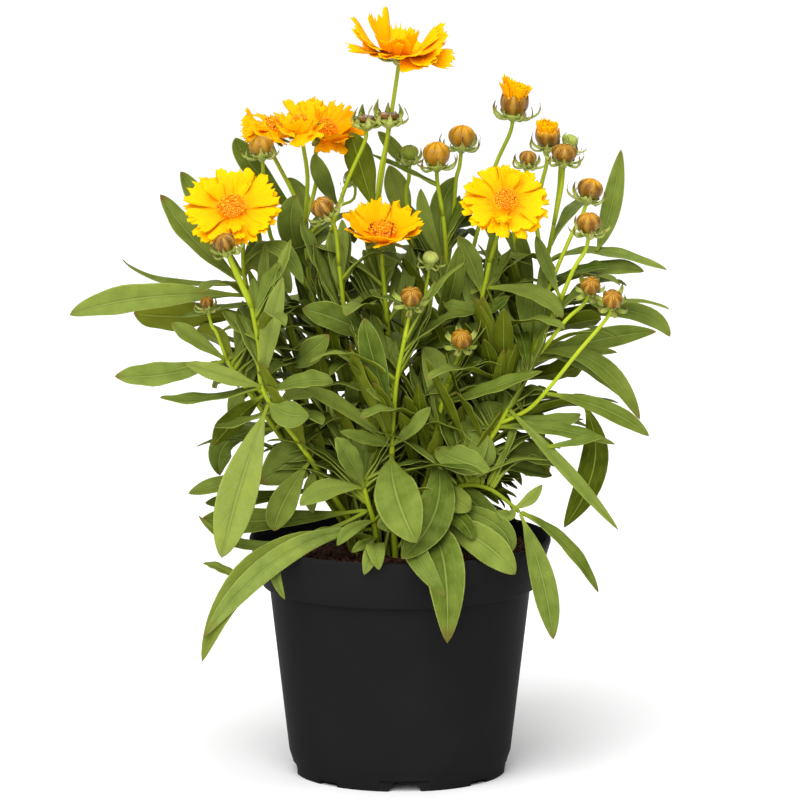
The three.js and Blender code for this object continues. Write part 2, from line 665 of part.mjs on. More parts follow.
    heads: [
      { kind: "bud", name: "bud_right_centre", at: [38, 271, -54], facing: [0.05, 0.6, 0.8], radius: 6.2,
        stalk: [[30, 245, -42]] },
    ],
    leaves: [
      [25, 212, [24, 244, -30], [14, 266, -28], 18, 65],
      [22, 212, [31, 232, -22], [32, 258, -20], 11, 70],
      [24, 205, [21, 168, -56], [1, 136, -76], 23, 75],
      [16, 203, [34, 197, -54], [56, 190, -60], 18, 62],
      [20, 190, [48, 168, -56], [59, 147, -64], 15, 70],
      [24, 210, [46, 207, -40], [56, 192, -44], 16, 65],
      [24, 216, [48, 222, -34], [66, 230, -36], 17, 60],
      [20, 185, [33, 174, -60], [44, 166, -66], 15, 70],
      [27, 232, [55, 241, -50], [88, 251, -56], 12, 35],
    ],
    fill: 2,
  },
  {
    name: "shoot_right_bloom", base: [14, 2],
    stem: [[24, 185, 4], [34, 215, 2], [40, 238, -4], [45, 262, -8], [50, 290, -12], [56, 320, -18]],
    heads: [
      { kind: "bloom", name: "right", at: [65, 356, -34], facing: [0.05, 0.55, 0.83], radius: 27,
        petals: 10, lift: 8, curl: 0, disc: 7, stalk: [[56, 320, -18]] },
    ],
    leaves: [
      [54, 302, [84, 299, -24], [101, 284, -30], 12, 45],
      [50, 290, [58, 291, -20], [68, 298, -24], 9, 45],
      [49, 286, [38, 291, -16], [27, 293, -12], 9, 45],
      [47, 280, [44, 302, 4], [40, 322, 10], 13, 60],
      [52, 300, [46, 318, 6], [36, 336, 12], 12, 65],
      [41, 240, [56, 248, 6], [64, 262, 10], 12, 60],
    ],
    fill: 4,
  },
  {
    name: "shoot_right", base: [23, -4],
    stem: [[38, 180, -8], [54, 212, -14], [65, 232, -18], [72, 247, -20], [82, 262, -20], [92, 280, -20],
      [100, 296, -22]],
    heads: [
      { kind: "bud", name: "bud_right", at: [117, 343, -28], facing: [0, 0.9, 0.42], radius: 7.2,
        stalk: [[100, 296, -22], [108, 315, -25]] },
      { kind: "bud", name: "bud_right_low", at: [118, 304, -42], facing: [0.1, 0.6, 0.8], radius: 5.8,
        stalk: [[73, 248, -20], [88, 264, -32], [103, 283, -38]] },
      { kind: "bud", name: "bud_right_high", at: [119, 365, 10], facing: [0.25, 0.9, 0.2], radius: 7.6,
        stalk: [[82, 262, -20], [88, 288, -4], [95, 308, 0], [107, 336, 6]] },
    ],
    leaves: [
      [82, 253, [119, 268, -8], [160, 276, -14], 14, 60],
      [82, 262, [122, 257, -30], [149, 221, -40], 12, 60],
      [82, 262, [118, 256, -2], [139, 235, 0], 11, 60],
      [71, 247, [63, 262, -26], [55, 273, -30], 8, 60],
      [74, 250, [71, 270, -14], [66, 288, -12], 11, 60],
      [67, 233, [78, 239, -34], [89, 238, -40], 8, 50],
    ],
    fill: 4,
  },
  {
    name: "shoot_right_low", base: [20, -18],
    stem: [[34, 178, -28], [50, 200, -36], [60, 215, -40], [67, 228, -44]],
    heads: [
      { kind: "bud", name: "bud_far_right", at: [131, 295.5, -58], facing: [0.05, 0.62, 0.78], radius: 6,
        stalk: [[62, 218, -41], [80, 228, -48], [94, 243, -52], [110, 263, -54]] },
    ],
    leaves: [
      [67, 228, [100, 194, -60], [135, 153, -68], 8, 55],
      [60, 218, [95, 216, -50], [133, 206, -54], 11, 40],
      [92, 205, [112, 208, -62], [125, 211, -64], 7, 40, "lobe"],
      [62, 217, [95, 229, -36], [118, 230, -34], 12, -40],
      [66, 224, [95, 219, -44], [112, 225, -44], 10, 50],
      [52, 200, [80, 200, -30], [102, 192, -28], 15, 50],
      [50, 195, [75, 191, -26], [95, 186, -22], 11, 40],
      [90, 240, [126, 229, -54], [154, 211, -60], 11, 62],
      [114, 240, [120, 196, -46], [102, 154, -42], 18, -60, "lobe"],
    ],
    fill: 2,
  },
  {
    name: "shoot_right_back", base: [24, 12],
    stem: [[48, 205, 22], [70, 255, 30], [84, 290, 32], [92, 320, 32], [97, 345, 28]],
    heads: [
      { kind: "bud", name: "bud_upper_right", at: [103, 388, 22], facing: [0.05, 0.9, 0.4], radius: 7.6,
        squash: 0.7, stalk: [[97, 345, 28], [101, 365, 24]] },
      { kind: "bud", name: "bud_opening", at: [93, 399, 44], facing: [0, 0.95, 0.3], radius: 7.4,
        squash: 0.9, crown: [7, 5], stalk: [[90, 315, 32], [86, 345, 38], [89, 368, 42]] },
      { kind: "bud", name: "turned_away", at: [108, 397, 58], facing: [0.5, 0.8, -0.3], radius: 4.4,
        green: true, spread: 1.3, stalk: [[95, 335, 32], [100, 365, 50]] },
      { kind: "bud", name: "bud_behind_bloom", at: [80, 384.5, 12], facing: [0.1, 0.9, 0.3], radius: 5.2,
        stalk: [[84, 290, 32], [75, 318, 22], [71, 345, 16], [74, 366, 14]] },
    ],
    leaves: [
      [88, 318, [122, 326.5, 22], [167, 315, 8], 12, 18],
      [88, 305, [126, 314.5, 18], [153, 314, 14], 11, 45],
      [88, 308, [113, 315, 10], [131, 317, 4], 12, 25],
      [123, 326, [131, 350, 28], [139, 391, 34], 12, 68, "lobe"],
      [84, 285, [140, 288, 6], [169, 273, -2], 12, 60],
      [86, 292, [138, 295, 0], [168, 290, -10], 6, 8],
      [84, 280, [108, 297, 14], [128, 288, 12], 10, 30],
      [80, 272, [108, 282, 20], [126, 284, 22], 18, -45],
      [70, 245, [98, 250, 10], [115, 257, 6], 18, -50],
    ],
    fill: 4,
  },
  {
    name: "shoot_up_right", base: [9, 20],
    stem: [[13, 200, 26], [20, 260, 30], [28, 305, 28], [29, 325, 26], [27, 350, 22]],
    heads: [
      { kind: "bud", name: "bud_yellow", at: [23, 387, 18], facing: [0, 0.95, 0.3], radius: 8,
        squash: 0.95, stalk: [[27, 350, 22]] },
      { kind: "bud", name: "bud_brown", at: [39, 399, 40], facing: [0.05, 0.95, 0.25], radius: 8,
        stalk: [[28, 305, 28], [33, 340, 36], [35, 370, 39]] },
      { kind: "bud", name: "bud_half_open", at: [72, 419.5, 46], facing: [0.1, 0.97, 0.2], radius: 8.4,
        squash: 0.9, spread: 1.1, crown: [12, 9.5],
        stalk: [[24, 280, 30], [40, 308, 44], [49, 340, 48], [59, 378, 48]] },
      { kind: "bud", name: "green", at: [19, 322, -6], facing: [0.1, 0.85, 0.5], radius: 4.6, green: true,
        stalk: [[20, 264, 28], [16, 285, 8], [16, 300, 0]] },
      { kind: "bud", name: "dark", at: [6, 389, 42], facing: [0, 0.9, 0.3], radius: 5.5, green: true,
        stalk: [[20, 265, 30], [10, 320, 42], [4, 360, 44]] },
    ],
    leaves: [
      [5, 335, [31, 343, 44], [53, 349, 46], 13, 25],
      [30, 322, [26, 350, 42], [36, 374, 46], 15, 65],
      [25, 370, [4, 377, 26], [-19, 388, 30], 6, 15],
      [5, 378, [-3, 390, 50], [-14, 403, 54], 9, 60],
      [6, 340, [0, 362, 56], [-7, 382, 60], 15, 60],
      [22, 270, [33, 300, 8], [37, 330, 4], 12, 65],
    ],
    fill: 4,
  },
  {
    name: "shoot_back_left", base: [-26, 32],
    stem: [[-44, 190, 52], [-64, 240, 72], [-78, 285, 86]],
    heads: [],
    leaves: [],
    fill: 9,
  },
  {
    name: "shoot_back", base: [-2, 38],
    stem: [[-4, 190, 58], [-2, 245, 78], [4, 300, 92]],
    heads: [],
    leaves: [],
    fill: 9,
  },
  {
    name: "shoot_back_right", base: [22, 32],
    stem: [[42, 185, 50], [62, 235, 68], [80, 280, 82]],
    heads: [],
    leaves: [],
    fill: 9,
  },
];

// ---- Assembly ----
const nodes = [];
function addNode(name, colour, solids) {
  const node = { name, colour, solids, boxes: solids.map((solid) => solid.boundingBox()) };
  nodes.push(node);
  return node;
}

const boxesMeet = (one, two) => [0, 1, 2].every((axis) =>
  one.min[axis] < two.max[axis] && two.min[axis] < one.max[axis]);

// Whether a solid meets nothing in the nodes that pass the test.
function isClear(solid, test) {
  const box = solid.boundingBox();
  return nodes.filter(test).every((node) => node.solids.every((other, index) =>
    !boxesMeet(box, node.boxes[index]) || solid.intersect(other).volume() < 1e-4));
}

// Lays a leaf: the first of its variants that is clear of the other nodes and, past its root,
// of its own shoot; a leaf that may cross its own shoot takes the next best.
function layLeaf(node, variants, mayCross) {
  const free = variants.filter((leaf) => isClear(leafSolid(leaf, gap), (other) => other !== node));
  const outer = (leaf) => ({
    ...leaf, stations: [outerPart, ...leaf.stations.filter((station) => station > outerPart)],
  });
  const best = free.find((leaf) => isClear(leafSolid(outer(leaf), gap), (other) => other === node));
  const leaf = best ?? (mayCross ? free[0] : undefined);
  if (leaf) addSolid(node, leafSolid(leaf));
  return leaf;
}

function addSolid(node, solid) {
  node.solids.push(solid);
  node.boxes.push(solid.boundingBox());
}

addNode("pot", potColour, [potSolid()]);
addNode("soil", soilColour, [soilSolid(shoots.map((shoot) => shoot.base))]);

// Stems and flower heads come first, so that the leaves can be laid clear of them.
for (const shoot of shoots) {
  const [x, y] = shoot.base;
  const foot = new THREE.Vector3(x, y, soilHeight - stemBury);
  const stem = lineThrough([new THREE.Vector3(x, y, soilHeight + stemRise), ...shoot.stem.map(place)]);
  shoot.lines = [stem];
  const upright = tube([foot, ...stem], stemRadius, stalkRadius, stemSides);
  shoot.node = addNode(shoot.name, leafColour, [upright]);
  for (const head of shoot.heads) {
    const { green, nodes: pieces, bottom, axis } = headKinds[head.kind](head);
    const [first, ...rest] = head.stalk;
    const stalk = lineThrough([
      nearestPoint(shoot.lines, first[0], first[1]), ...rest.map(place),
      bottom.clone().addScaledVector(axis, -9), bottom,
    ]);
    shoot.lines.push(stalk);
    addSolid(shoot.node, tube(stalk, stalkRadius, stalkRadius, stalkSides));
    for (const solid of green) addSolid(shoot.node, solid);
    for (const piece of pieces) addNode(piece.name, piece.colour, [piece.solid]);
  }
}

// A leaf is tried at several depths, and is left out where none of them is clear.
const depthShifts = [0, -6, 6, -12, 12, -18, 18, -26, 26, -34, 34];
const longReach = 96;
const shortReach = 46;
const simpleReach = 64; // a leaf shorter than this has a flat upper face

for (const shoot of shoots) {
  const ribs = [...shoot.lines];
  for (const row of shoot.leaves) {
    const [rootAcross, rootUp, mid, tip, width, lean, kind] = row;
    const root = nearestPoint(kind === "lobe" ? ribs : shoot.lines, rootAcross, rootUp);
    const normal = new THREE.Vector3(0, -Math.sin(toRadians(lean)), Math.cos(toRadians(lean)));
    const variants = depthShifts.map((shift) => {
      const leaf = {
        root, mid: place([mid[0], mid[1], mid[2] + shift * 0.6]),
        tip: place([tip[0], tip[1], tip[2] + shift]), width, normal, stalked: 0.1,
      };
      const reach = leaf.root.distanceTo(leaf.tip);
      leaf.stations = reach > longReach ? longLeaf : reach > shortReach ? middleLeaf : shortLeaf;
      leaf.simple = reach < simpleReach;
      return leaf;
    });
    const leaf = layLeaf(shoot.node, variants, true);
    if (leaf) ribs.push([...leaf.stations.map((station) => midribAt(leaf, station).point), leaf.tip]);
  }
}

// Further leaves stand round each stem by the golden angle, longer and lower towards its foot.
const turnShifts = [0, 16, -16, 32, -32, 48, -48];
const liftShifts = [0, 14, -14];

for (const shoot of shoots) {
  const stem = shoot.lines[0];
  for (let index = 0; index < shoot.fill; index++) {
    const share = 0.3 + 0.66 * (index + 0.5 * draw()) / shoot.fill;
    const turn = goldenAngle * index + 60 * draw();
    const length = 78 - 26 * share + 18 * draw();
    const width = 10 + 7 * draw();
    const root = alongLine(stem, share);
    const outward = new THREE.Vector3(root.x, root.y, 0).normalize().multiplyScalar(0.75);
    const variants = liftShifts.flatMap((liftShift) => turnShifts.map((turnShift) => {
      const angle = toRadians(turn + turnShift);
      const way = new THREE.Vector3(Math.cos(angle), Math.sin(angle), 0).add(outward).normalize();
      const rise = length * (0.12 + 0.35 * share) + liftShift;
      return {
        root,
        mid: root.clone().addScaledVector(way, length * 0.5).addScaledVector(up, rise * 0.7),
        tip: root.clone().addScaledVector(way, length * 0.92)
          .addScaledVector(up, rise * 0.6 + liftShift),
        width, normal: up.clone().addScaledVector(way, 0.1), stalked: 0.12, stations: shortLeaf,
        simple: true,
      };
    }));
    layLeaf(shoot.node, variants, false);
  }
}

// ---- The scene graph ----
function meshOf({ name, colour, solids }) {
  const { vertProperties, triVerts } = solids.reduce((whole, next) => whole.add(next)).getMesh();
  const geometry = new THREE.BufferGeometry();
  geometry.setAttribute("position", new THREE.BufferAttribute(vertProperties, 3));
  geometry.setIndex(new THREE.BufferAttribute(triVerts, 1));
  geometry.computeVertexNormals();
  const material = new THREE.MeshStandardMaterial({ color: colour, ...finishes[colour] });
  const mesh = new THREE.Mesh(geometry, material);
  mesh.name = name;
  return mesh;
}

const group = new THREE.Group();
for (const node of nodes) group.add(meshOf(node));
export default group;
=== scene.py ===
# Coreopsis in a black nursery pot: the looks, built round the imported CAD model.
import math
import random
from types import SimpleNamespace

import bmesh
import bpy
from mathutils import Euler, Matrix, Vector, noise
from mathutils.kdtree import KDTree


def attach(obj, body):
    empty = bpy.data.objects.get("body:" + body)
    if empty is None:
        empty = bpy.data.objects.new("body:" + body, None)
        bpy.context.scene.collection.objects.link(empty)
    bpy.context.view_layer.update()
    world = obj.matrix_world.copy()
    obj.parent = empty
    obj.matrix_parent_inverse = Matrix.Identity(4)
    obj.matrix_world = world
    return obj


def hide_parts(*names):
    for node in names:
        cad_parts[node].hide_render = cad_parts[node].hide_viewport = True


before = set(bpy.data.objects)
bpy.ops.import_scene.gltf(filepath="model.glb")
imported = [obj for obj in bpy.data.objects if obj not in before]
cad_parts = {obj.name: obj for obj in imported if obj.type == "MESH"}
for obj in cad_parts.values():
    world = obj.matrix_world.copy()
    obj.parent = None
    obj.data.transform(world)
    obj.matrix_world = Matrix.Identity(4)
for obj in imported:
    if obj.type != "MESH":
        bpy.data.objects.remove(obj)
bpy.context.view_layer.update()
print("frame loaded:", len(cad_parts), "nodes")

# Shapes are worked out in millimetres and brought to metres when a piece is finished.
millimetre = 0.001
up = Vector((0, 0, 1))

# the front elevation looks down by this many degrees
drawing = {"tilt": 9.3}
tiltSin = math.sin(math.radians(drawing["tilt"]))
tiltCos = math.cos(math.radians(drawing["tilt"]))


# across and up as drawn from the front, depth behind the pot's axis
def place(spot):
    return Vector((spot[0], spot[2], (spot[1] - spot[2] * tiltSin) / tiltCos))


# across, up and towards the front, made one long
def heading(way):
    across, high, front = way
    return Vector((across, high * tiltSin - front * tiltCos, high * tiltCos + front * tiltSin)).normalized()


# a place at an angle round an axis that stands up
def around(angle, reach=1, high=0):
    return Vector((reach * math.cos(angle), reach * math.sin(angle), high))


# an object at the origin, linked to the scene
def addObject(name, data):
    made = bpy.data.objects.new(name, data)
    bpy.context.scene.collection.objects.link(made)
    return made


# one seeded draw, in the same order as the solids take theirs
drawState = {"seed": 20417}


def draw():
    drawState["seed"] = (drawState["seed"] * 16807) % 2147483647
    return drawState["seed"] / 2147483647


# what only the looks need comes from a draw of its own
looks = random.Random(11)


def mix(a, b, share):
    return a + (b - a) * share


def smooth(low, high, value):
    share = min(max((value - low) / (high - low), 0), 1)
    return share * share * (3 - 2 * share)


# curves
def alongCurve(points, share):
    last = len(points) - 1
    span = min(int(share * last), last - 1)
    t = share * last - span
    p0, p1, p2, p3 = (points[min(max(span + step, 0), last)] for step in (-1, 0, 1, 2))
    return 0.5 * (2 * p1 + (p2 - p0) * t + (2 * p0 - 5 * p1 + 4 * p2 - p3) * t * t
                  + (p3 - p0 + 3 * p1 - 3 * p2) * t ** 3)


lineRule = {"step": 34, "fine": 5}


def lineThrough(points, step=None):
    run = sum((b - a).length for a, b in zip(points, points[1:]))
    steps = max(len(points) - 1, math.ceil(run / (step or lineRule["step"])))
    return [alongCurve(points, index / steps) for index in range(steps + 1)]


def alongLine(line, share):
    step = min(int(share * (len(line) - 1)), len(line) - 2)
    return line[step].lerp(line[step + 1], share * (len(line) - 1) - step)


def drawnUp(point):
    return point.z * tiltCos + point.y * tiltSin


# the point of the lines nearest to a place on the front elevation
def nearestDrawn(lines, across, high):
    best = None
    bestDistance = math.inf
    for line in lines:
        for a, b in zip(line, line[1:]):
            runAcross, runUp = b.x - a.x, drawnUp(b) - drawnUp(a)
            along = (across - a.x) * runAcross + (high - drawnUp(a)) * runUp
            share = min(max(along / (runAcross ** 2 + runUp ** 2), 0), 1)
            point = a.lerp(b, share)
            distance = math.hypot(point.x - across, drawnUp(point) - high)
            if distance < bestDistance - 1e-6:
                best, bestDistance = point, distance
    return best


# the point of a smooth stem nearest to a point of its plain line
def snapTo(lines, point):
    return min((spot for line in lines for spot in line), key=lambda spot: (spot - point).length)


# finishes
def newFinish(name, roughness, specular=0.5, sockets=None):
    material = bpy.data.materials.new(name)
    material.use_nodes = True
    shader = material.node_tree.nodes["Principled BSDF"]
    fixed = {"Roughness": roughness, "Specular IOR Level": specular, **(sockets or {})}
    for socket, value in fixed.items():
        shader.inputs[socket].default_value = value
    return material


def node(material, kind, sockets=None, **settings):
    made = material.node_tree.nodes.new("ShaderNode" + kind)
    for setting, value in settings.items():
        setattr(made, setting, value)
    for socket, value in (sockets or {}).items():
        if isinstance(value, bpy.types.NodeSocket):
            material.node_tree.links.new(value, made.inputs[socket])
        else:
            made.inputs[socket].default_value = value
    return made


def maths(material, operation, a, b=0.0):
    return node(material, "Math", {0: a, 1: b}, operation=operation).outputs[0]


def times(material, a, b):
    return maths(material, "MULTIPLY", a, b)


def plus(material, a, b):
    return maths(material, "ADD", a, b)


def between(material, value, low, high):
    return node(material, "MapRange", {"Value": value, "From Min": low, "From Max": high},
                interpolation_type="SMOOTHSTEP").outputs["Result"]


def rgb(red, green, blue):
    return red, green, blue, 1


def blendColour(material, share, a, b):
    return node(material, "Mix", {0: share, 6: a, 7: b}, data_type="RGBA").outputs[2]


# another colour laid over one, as far as a value has come from low to high
def overlay(material, colour, value, low, high, amount, over):
    return blendColour(material, times(material, between(material, value, low, high), amount), colour, over)


def ramp(material, share, stops):
    made = node(material, "ValToRGB", {"Fac": share})
    elements = made.color_ramp.elements
    while len(elements) < len(stops):
        elements.new(0.5)
    for element, (position, colour) in zip(elements, stops):
        element.position = position
        element.color = rgb(*colour)
    return made.outputs["Color"]


def grain(material, coordinate, scale, detail=3, stretch=(1, 1, 1)):
    moved = node(material, "Mapping", {"Vector": coordinate, "Scale": stretch}).outputs["Vector"]
    return node(material, "TexNoise", {"Vector": moved, "Scale": scale, "Detail": detail}).outputs["Fac"]


def paint(material, colour, height=None, strength=0.3, distance=0.0005, roughness=None):
    links = material.node_tree.links
    shader = material.node_tree.nodes["Principled BSDF"]
    links.new(colour, shader.inputs["Base Color"])
    if roughness is not None:
        links.new(roughness, shader.inputs["Roughness"])
    if height is not None:
        bump = node(material, "Bump", {"Height": height, "Strength": strength, "Distance": distance})
        links.new(bump.outputs["Normal"], shader.inputs["Normal"])
    return material


# what a piece tells its material: its place, its map, along and across on that map, and its tint.
# The tint is light, yellow and brown on what is green; on a leaf the light value is partly painted light
# and shade. A petal's yellow is how orange its bloom is, a folded petal's is how far its bud is open, and a
# scale's brown is how orange its end is.
def readPiece(material):
    where = node(material, "TexCoord").outputs
    uv = node(material, "SeparateXYZ", {"Vector": where["UV"]}).outputs
    tint = node(material, "Attribute", attribute_name="tint").outputs["Color"]
    parts = node(material, "SeparateColor", {"Color": tint}).outputs
    return SimpleNamespace(place=where["Object"], map=where["UV"], along=uv["X"], across=uv["Y"],
                           light=parts["Red"], yellow=parts["Green"], brown=parts["Blue"])


# leaf colours; the dark greens stand in for the shade between leaves: painted shade
leafColours = {
    "top": {
        "dark": rgb(0.039, 0.070, 0.0), "light": rgb(0.182, 0.242, 0.042), "yellow": rgb(0.29, 0.33, 0.045),
        "vein": rgb(0.20, 0.25, 0.055), "rib": rgb(0.26, 0.31, 0.08), "margin": rgb(0.37, 0.43, 0.09),
    },
    "under": {
        "dark": rgb(0.042, 0.062, 0.0), "light": rgb(0.135, 0.165, 0.008), "yellow": rgb(0.27, 0.29, 0.02),
        "vein": rgb(0.17, 0.21, 0.025), "rib": rgb(0.29, 0.33, 0.05), "margin": rgb(0.24, 0.27, 0.04),
    },
    "stalk": rgb(0.24, 0.30, 0.02),
    "grey": rgb(0.25, 0.29, 0.13),
    "brown": rgb(0.16, 0.065, 0.02),
}


# how far a place is from the middle of its blade: 0 on the rib, 1 on the margin
def offRib(material, across):
    return times(material, maths(material, "ABSOLUTE", maths(material, "SUBTRACT", across, 0.5)), 2)


# a noise that swings about zero
def swing(material, value, size):
    return times(material, maths(material, "SUBTRACT", value, 0.5), size)


def leafFinish(name, colours, roughness):
    material = newFinish(name, roughness, 0.055)
    own = readPiece(material)
    off = offRib(material, own.across)
    cloud = grain(material, own.place, 90, 4)
    patch = grain(material, own.place, 38, 5)
    speck = grain(material, own.place, 900, 2)
    mottle = grain(material, own.place, 420, 3)
    # painted light and shade: the leaf's light tint, swung by a cloud of noise, moves it from a dark green
    # that stands in for shade to a lit green
    shade = plus(material, own.light, swing(material, cloud, 1.1))
    colour = blendColour(material, shade, colours["dark"], colours["light"])
    colour = blendColour(material, own.yellow, colour, colours["yellow"])
    # painted sheen: a grey-green mottle laid only on leaves with a high light tint, standing in for the grey
    # sheen on lit leaves
    pale = between(material, own.light, 0.7, 1.7)
    colour = overlay(material, colour, mottle, 0.4, 0.7, pale, leafColours["grey"])
    # painted light: yellow-green patches, stronger the higher the leaf's light tint, stand in for bright lit
    # patches
    paintedLightPatch = times(material, times(material, between(material, patch, 0.5, 0.72), own.light), 0.4)
    colour = blendColour(material, paintedLightPatch, colour, colours["yellow"])
    lean = maths(material, "SUBTRACT", times(material, own.along, 58), times(material, off, 13))
    beat = between(material, maths(material, "SINE", lean), 0.55, 1)
    colour = blendColour(material, times(material, beat, 0.09), colour, colours["vein"])
    lines = maths(material, "ABSOLUTE", maths(material, "SUBTRACT", off, 0.5))
    # the second layer darkens a band beside the midrib: painted shade in its groove
    layers = (
        (lines, 0.05, 0.0, 0.2, colours["vein"]), (off, 0.2, 0.06, 0.3, colours["dark"]),
        (off, 0.07, 0.02, 0.55, colours["rib"]), (off, 0.9, 0.975, 0.65, colours["margin"]),
        (own.along, 0.2, 0.04, 0.75, leafColours["stalk"]),
        (own.along, 0.9, 1.0, own.brown, leafColours["brown"]),
    )
    for layer in layers:
        colour = overlay(material, colour, *layer)
    height = plus(material, times(material, beat, -0.5), times(material, speck, 0.7))
    return paint(material, colour, height, 0.35, 0.0006)


def stalkFinish():
    material = newFinish("stalk", 0.42, 0.14)
    own = readPiece(material)
    cloud = grain(material, own.place, 60, 3)
    streak = grain(material, own.map, 6, 3, (0.6, 14, 1))
    shade = plus(material, own.light, swing(material, cloud, 0.8))
    colour = blendColour(material, shade, rgb(0.20, 0.26, 0.006), rgb(0.46, 0.55, 0.02))
    colour = blendColour(material, own.brown, colour, rgb(0.26, 0.13, 0.05))
    colour = blendColour(material, times(material, streak, 0.25), colour, rgb(0.18, 0.24, 0.01))
    return paint(material, colour, streak, 0.3, 0.0004)


def bractFinish(name, roughness=0.5):
    material = newFinish(name, roughness, 0.2)
    own = readPiece(material)
    cloud = grain(material, own.place, 260, 3)
    shade = plus(material, own.light, swing(material, cloud, 0.7))
    colour = blendColour(material, shade, rgb(0.20, 0.26, 0.02), rgb(0.47, 0.53, 0.12))
    off = offRib(material, own.across)
    colour = overlay(material, colour, off, 0.75, 1.0, 0.6, rgb(0.55, 0.57, 0.22))
    colour = overlay(material, colour, own.along, 0.55, 0.95, own.brown, rgb(0.17, 0.06, 0.02))
    return paint(material, colour, cloud, 0.3, 0.0003)


softLit = {
    "Subsurface Weight": 0.3, "Subsurface Radius": (1.0, 0.5, 0.03), "Subsurface Scale": 0.003,
}


def petalFinish(name, base, middle, end):
    material = newFinish(name, 0.6, 0.05, softLit)
    own = readPiece(material)
    cloud = grain(material, own.place, 110, 3)
    colour = ramp(material, own.along, [(0.1, base), (0.5, middle), (1.0, end)])
    line = maths(material, "SINE", times(material, own.across, 120))
    colour = overlay(material, colour, line, 0.3, 1.0, 0.05, rgb(0.95, 0.34, 0.0))
    share = plus(material, times(material, own.yellow, 0.6), swing(material, cloud, 0.3))
    share = plus(material, share, times(material, own.light, 0.12))
    colour = blendColour(material, share, colour, rgb(1.0, 0.33, 0.0))
    return paint(material, colour, plus(material, line, times(material, cloud, 2)), 0.22, 0.0004)


def floretFinish():
    material = newFinish("floret", 0.6, 0.2)
    own = readPiece(material)
    colour = ramp(material, own.light, [
        (0.0, (0.16, 0.014, 0.002)), (0.1, (0.42, 0.06, 0.002)), (0.17, (0.9, 0.27, 0.002)),
        (0.6, (1.0, 0.40, 0.003)), (1.0, (1.0, 0.58, 0.015)),
    ])
    colour = overlay(material, colour, own.yellow, 0.75, 1.0, 0.25, rgb(1.0, 0.48, 0.01))
    return paint(material, colour, grain(material, own.place, 1200, 2), 0.4, 0.0003)


scaleColours = {
    "dark": rgb(0.045, 0.014, 0.0), "brown": rgb(0.28, 0.12, 0.006), "paintedHighlight": rgb(0.58, 0.33, 0.045),
    "deep": rgb(0.11, 0.038, 0.002), "amber": rgb(0.55, 0.27, 0.004), "rim": rgb(0.045, 0.013, 0.0),
    "foot": rgb(0.24, 0.25, 0.03), "end": rgb(0.95, 0.45, 0.005),
}


def scaleFinish():
    material = newFinish("scale", 0.26, 0.28)
    own = readPiece(material)
    streak = grain(material, own.map, 5, 4, (0.9, 9, 1))
    cloud = grain(material, own.place, 240, 3)
    off = offRib(material, own.across)
    sharp = between(material, streak, 0.32, 0.68)
    colour = blendColour(material, sharp, scaleColours["dark"], scaleColours["brown"])
    # painted highlight: a light tan streak down the middle of each scale, standing in for the gloss that
    # catches the light
    colour = overlay(material, colour, off, 0.5, 0.05, times(material, streak, 1.1), scaleColours["paintedHighlight"])
    colour = blendColour(material, times(material, own.light, 0.5), colour, scaleColours["deep"])
    colour = blendColour(material, times(material, own.yellow, 0.5), colour, scaleColours["amber"])
    colour = overlay(material, colour, off, 0.78, 1.0, 0.8, scaleColours["rim"])
    colour = overlay(material, colour, own.along, 0.42, 0.05, 0.8, scaleColours["foot"])
    end = times(material, between(material, own.along, 0.6, 0.92), own.brown)
    colour = overlay(material, colour, streak, 0.3, 0.6, end, scaleColours["end"])
    return paint(material, colour, plus(material, streak, cloud), 0.4, 0.0005)


def foldedFinish():
    material = newFinish("folded", 0.4)
    own = readPiece(material)
    streak = grain(material, own.map, 5, 4, (1.5, 30, 1))
    shut = blendColour(material, streak, rgb(0.30, 0.12, 0.0), rgb(0.75, 0.40, 0.03))
    bright = blendColour(material, streak, rgb(0.80, 0.27, 0.004), rgb(1.0, 0.55, 0.01))
    return paint(material, blendColour(material, own.yellow, shut, bright), streak, 0.5, 0.0006)


def soilFinish():
    material = newFinish("peat", 0.95, 0.2)
    spot = node(material, "TexCoord").outputs["Object"]
    coarse = grain(material, spot, 160, 6)
    fine = grain(material, spot, 900, 4)
    colour = ramp(material, coarse, [
        (0.3, (0.022, 0.009, 0.006)), (0.5, (0.075, 0.028, 0.016)), (0.7, (0.15, 0.06, 0.034)),
    ])
    colour = blendColour(material, times(material, fine, 0.35), colour, rgb(0.03, 0.012, 0.008))
    return paint(material, colour, plus(material, coarse, fine), 0.8, 0.002)


def potFinish():
    material = newFinish("blackPlastic", 0.5, 0.01)
    spot = node(material, "TexCoord").outputs["Object"]
    dust = grain(material, spot, 14, 5)
    speck = grain(material, spot, 700, 3)
    drawn = grain(material, spot, 60, 4, (1, 1, 0.06))
    worn = times(material, between(material, dust, 0.45, 0.8), 0.5)
    colour = blendColour(material, worn, rgb(0.0112, 0.0112, 0.0114), rgb(0.0165, 0.0163, 0.016))
    colour = blendColour(material, between(material, speck, 0.68, 0.8), colour, rgb(0.022, 0.021, 0.020))
    rough = node(material, "MapRange", {
        "Value": plus(material, dust, drawn), "From Min": 0.6, "From Max": 1.4,
        "To Min": 0.42, "To Max": 0.54,
    }).outputs["Result"]
    return paint(material, colour, plus(material, speck, drawn), 0.12, 0.0004, rough)


finishes = {
    "leafTop": leafFinish("leafTop", leafColours["top"], 0.55),
    "leafUnder": leafFinish("leafUnder", leafColours["under"], 0.62),
    "stalk": stalkFinish(),
    "bract": bractFinish("bract"),
    "budGreen": bractFinish("budGreen", 0.4),
    "petal": petalFinish("petal", (1.0, 0.29, 0.0), (1.0, 0.46, 0.0), (1.0, 0.55, 0.0)),
    "petalBack": petalFinish("petalBack", (0.9, 0.34, 0.0), (1.0, 0.43, 0.0), (1.0, 0.49, 0.0)),
    "floret": floretFinish(),
    "scale": scaleFinish(),
    "folded": foldedFinish(),
    "peat": soilFinish(),
    "pot": potFinish(),
}
print("finishes:", len(finishes))


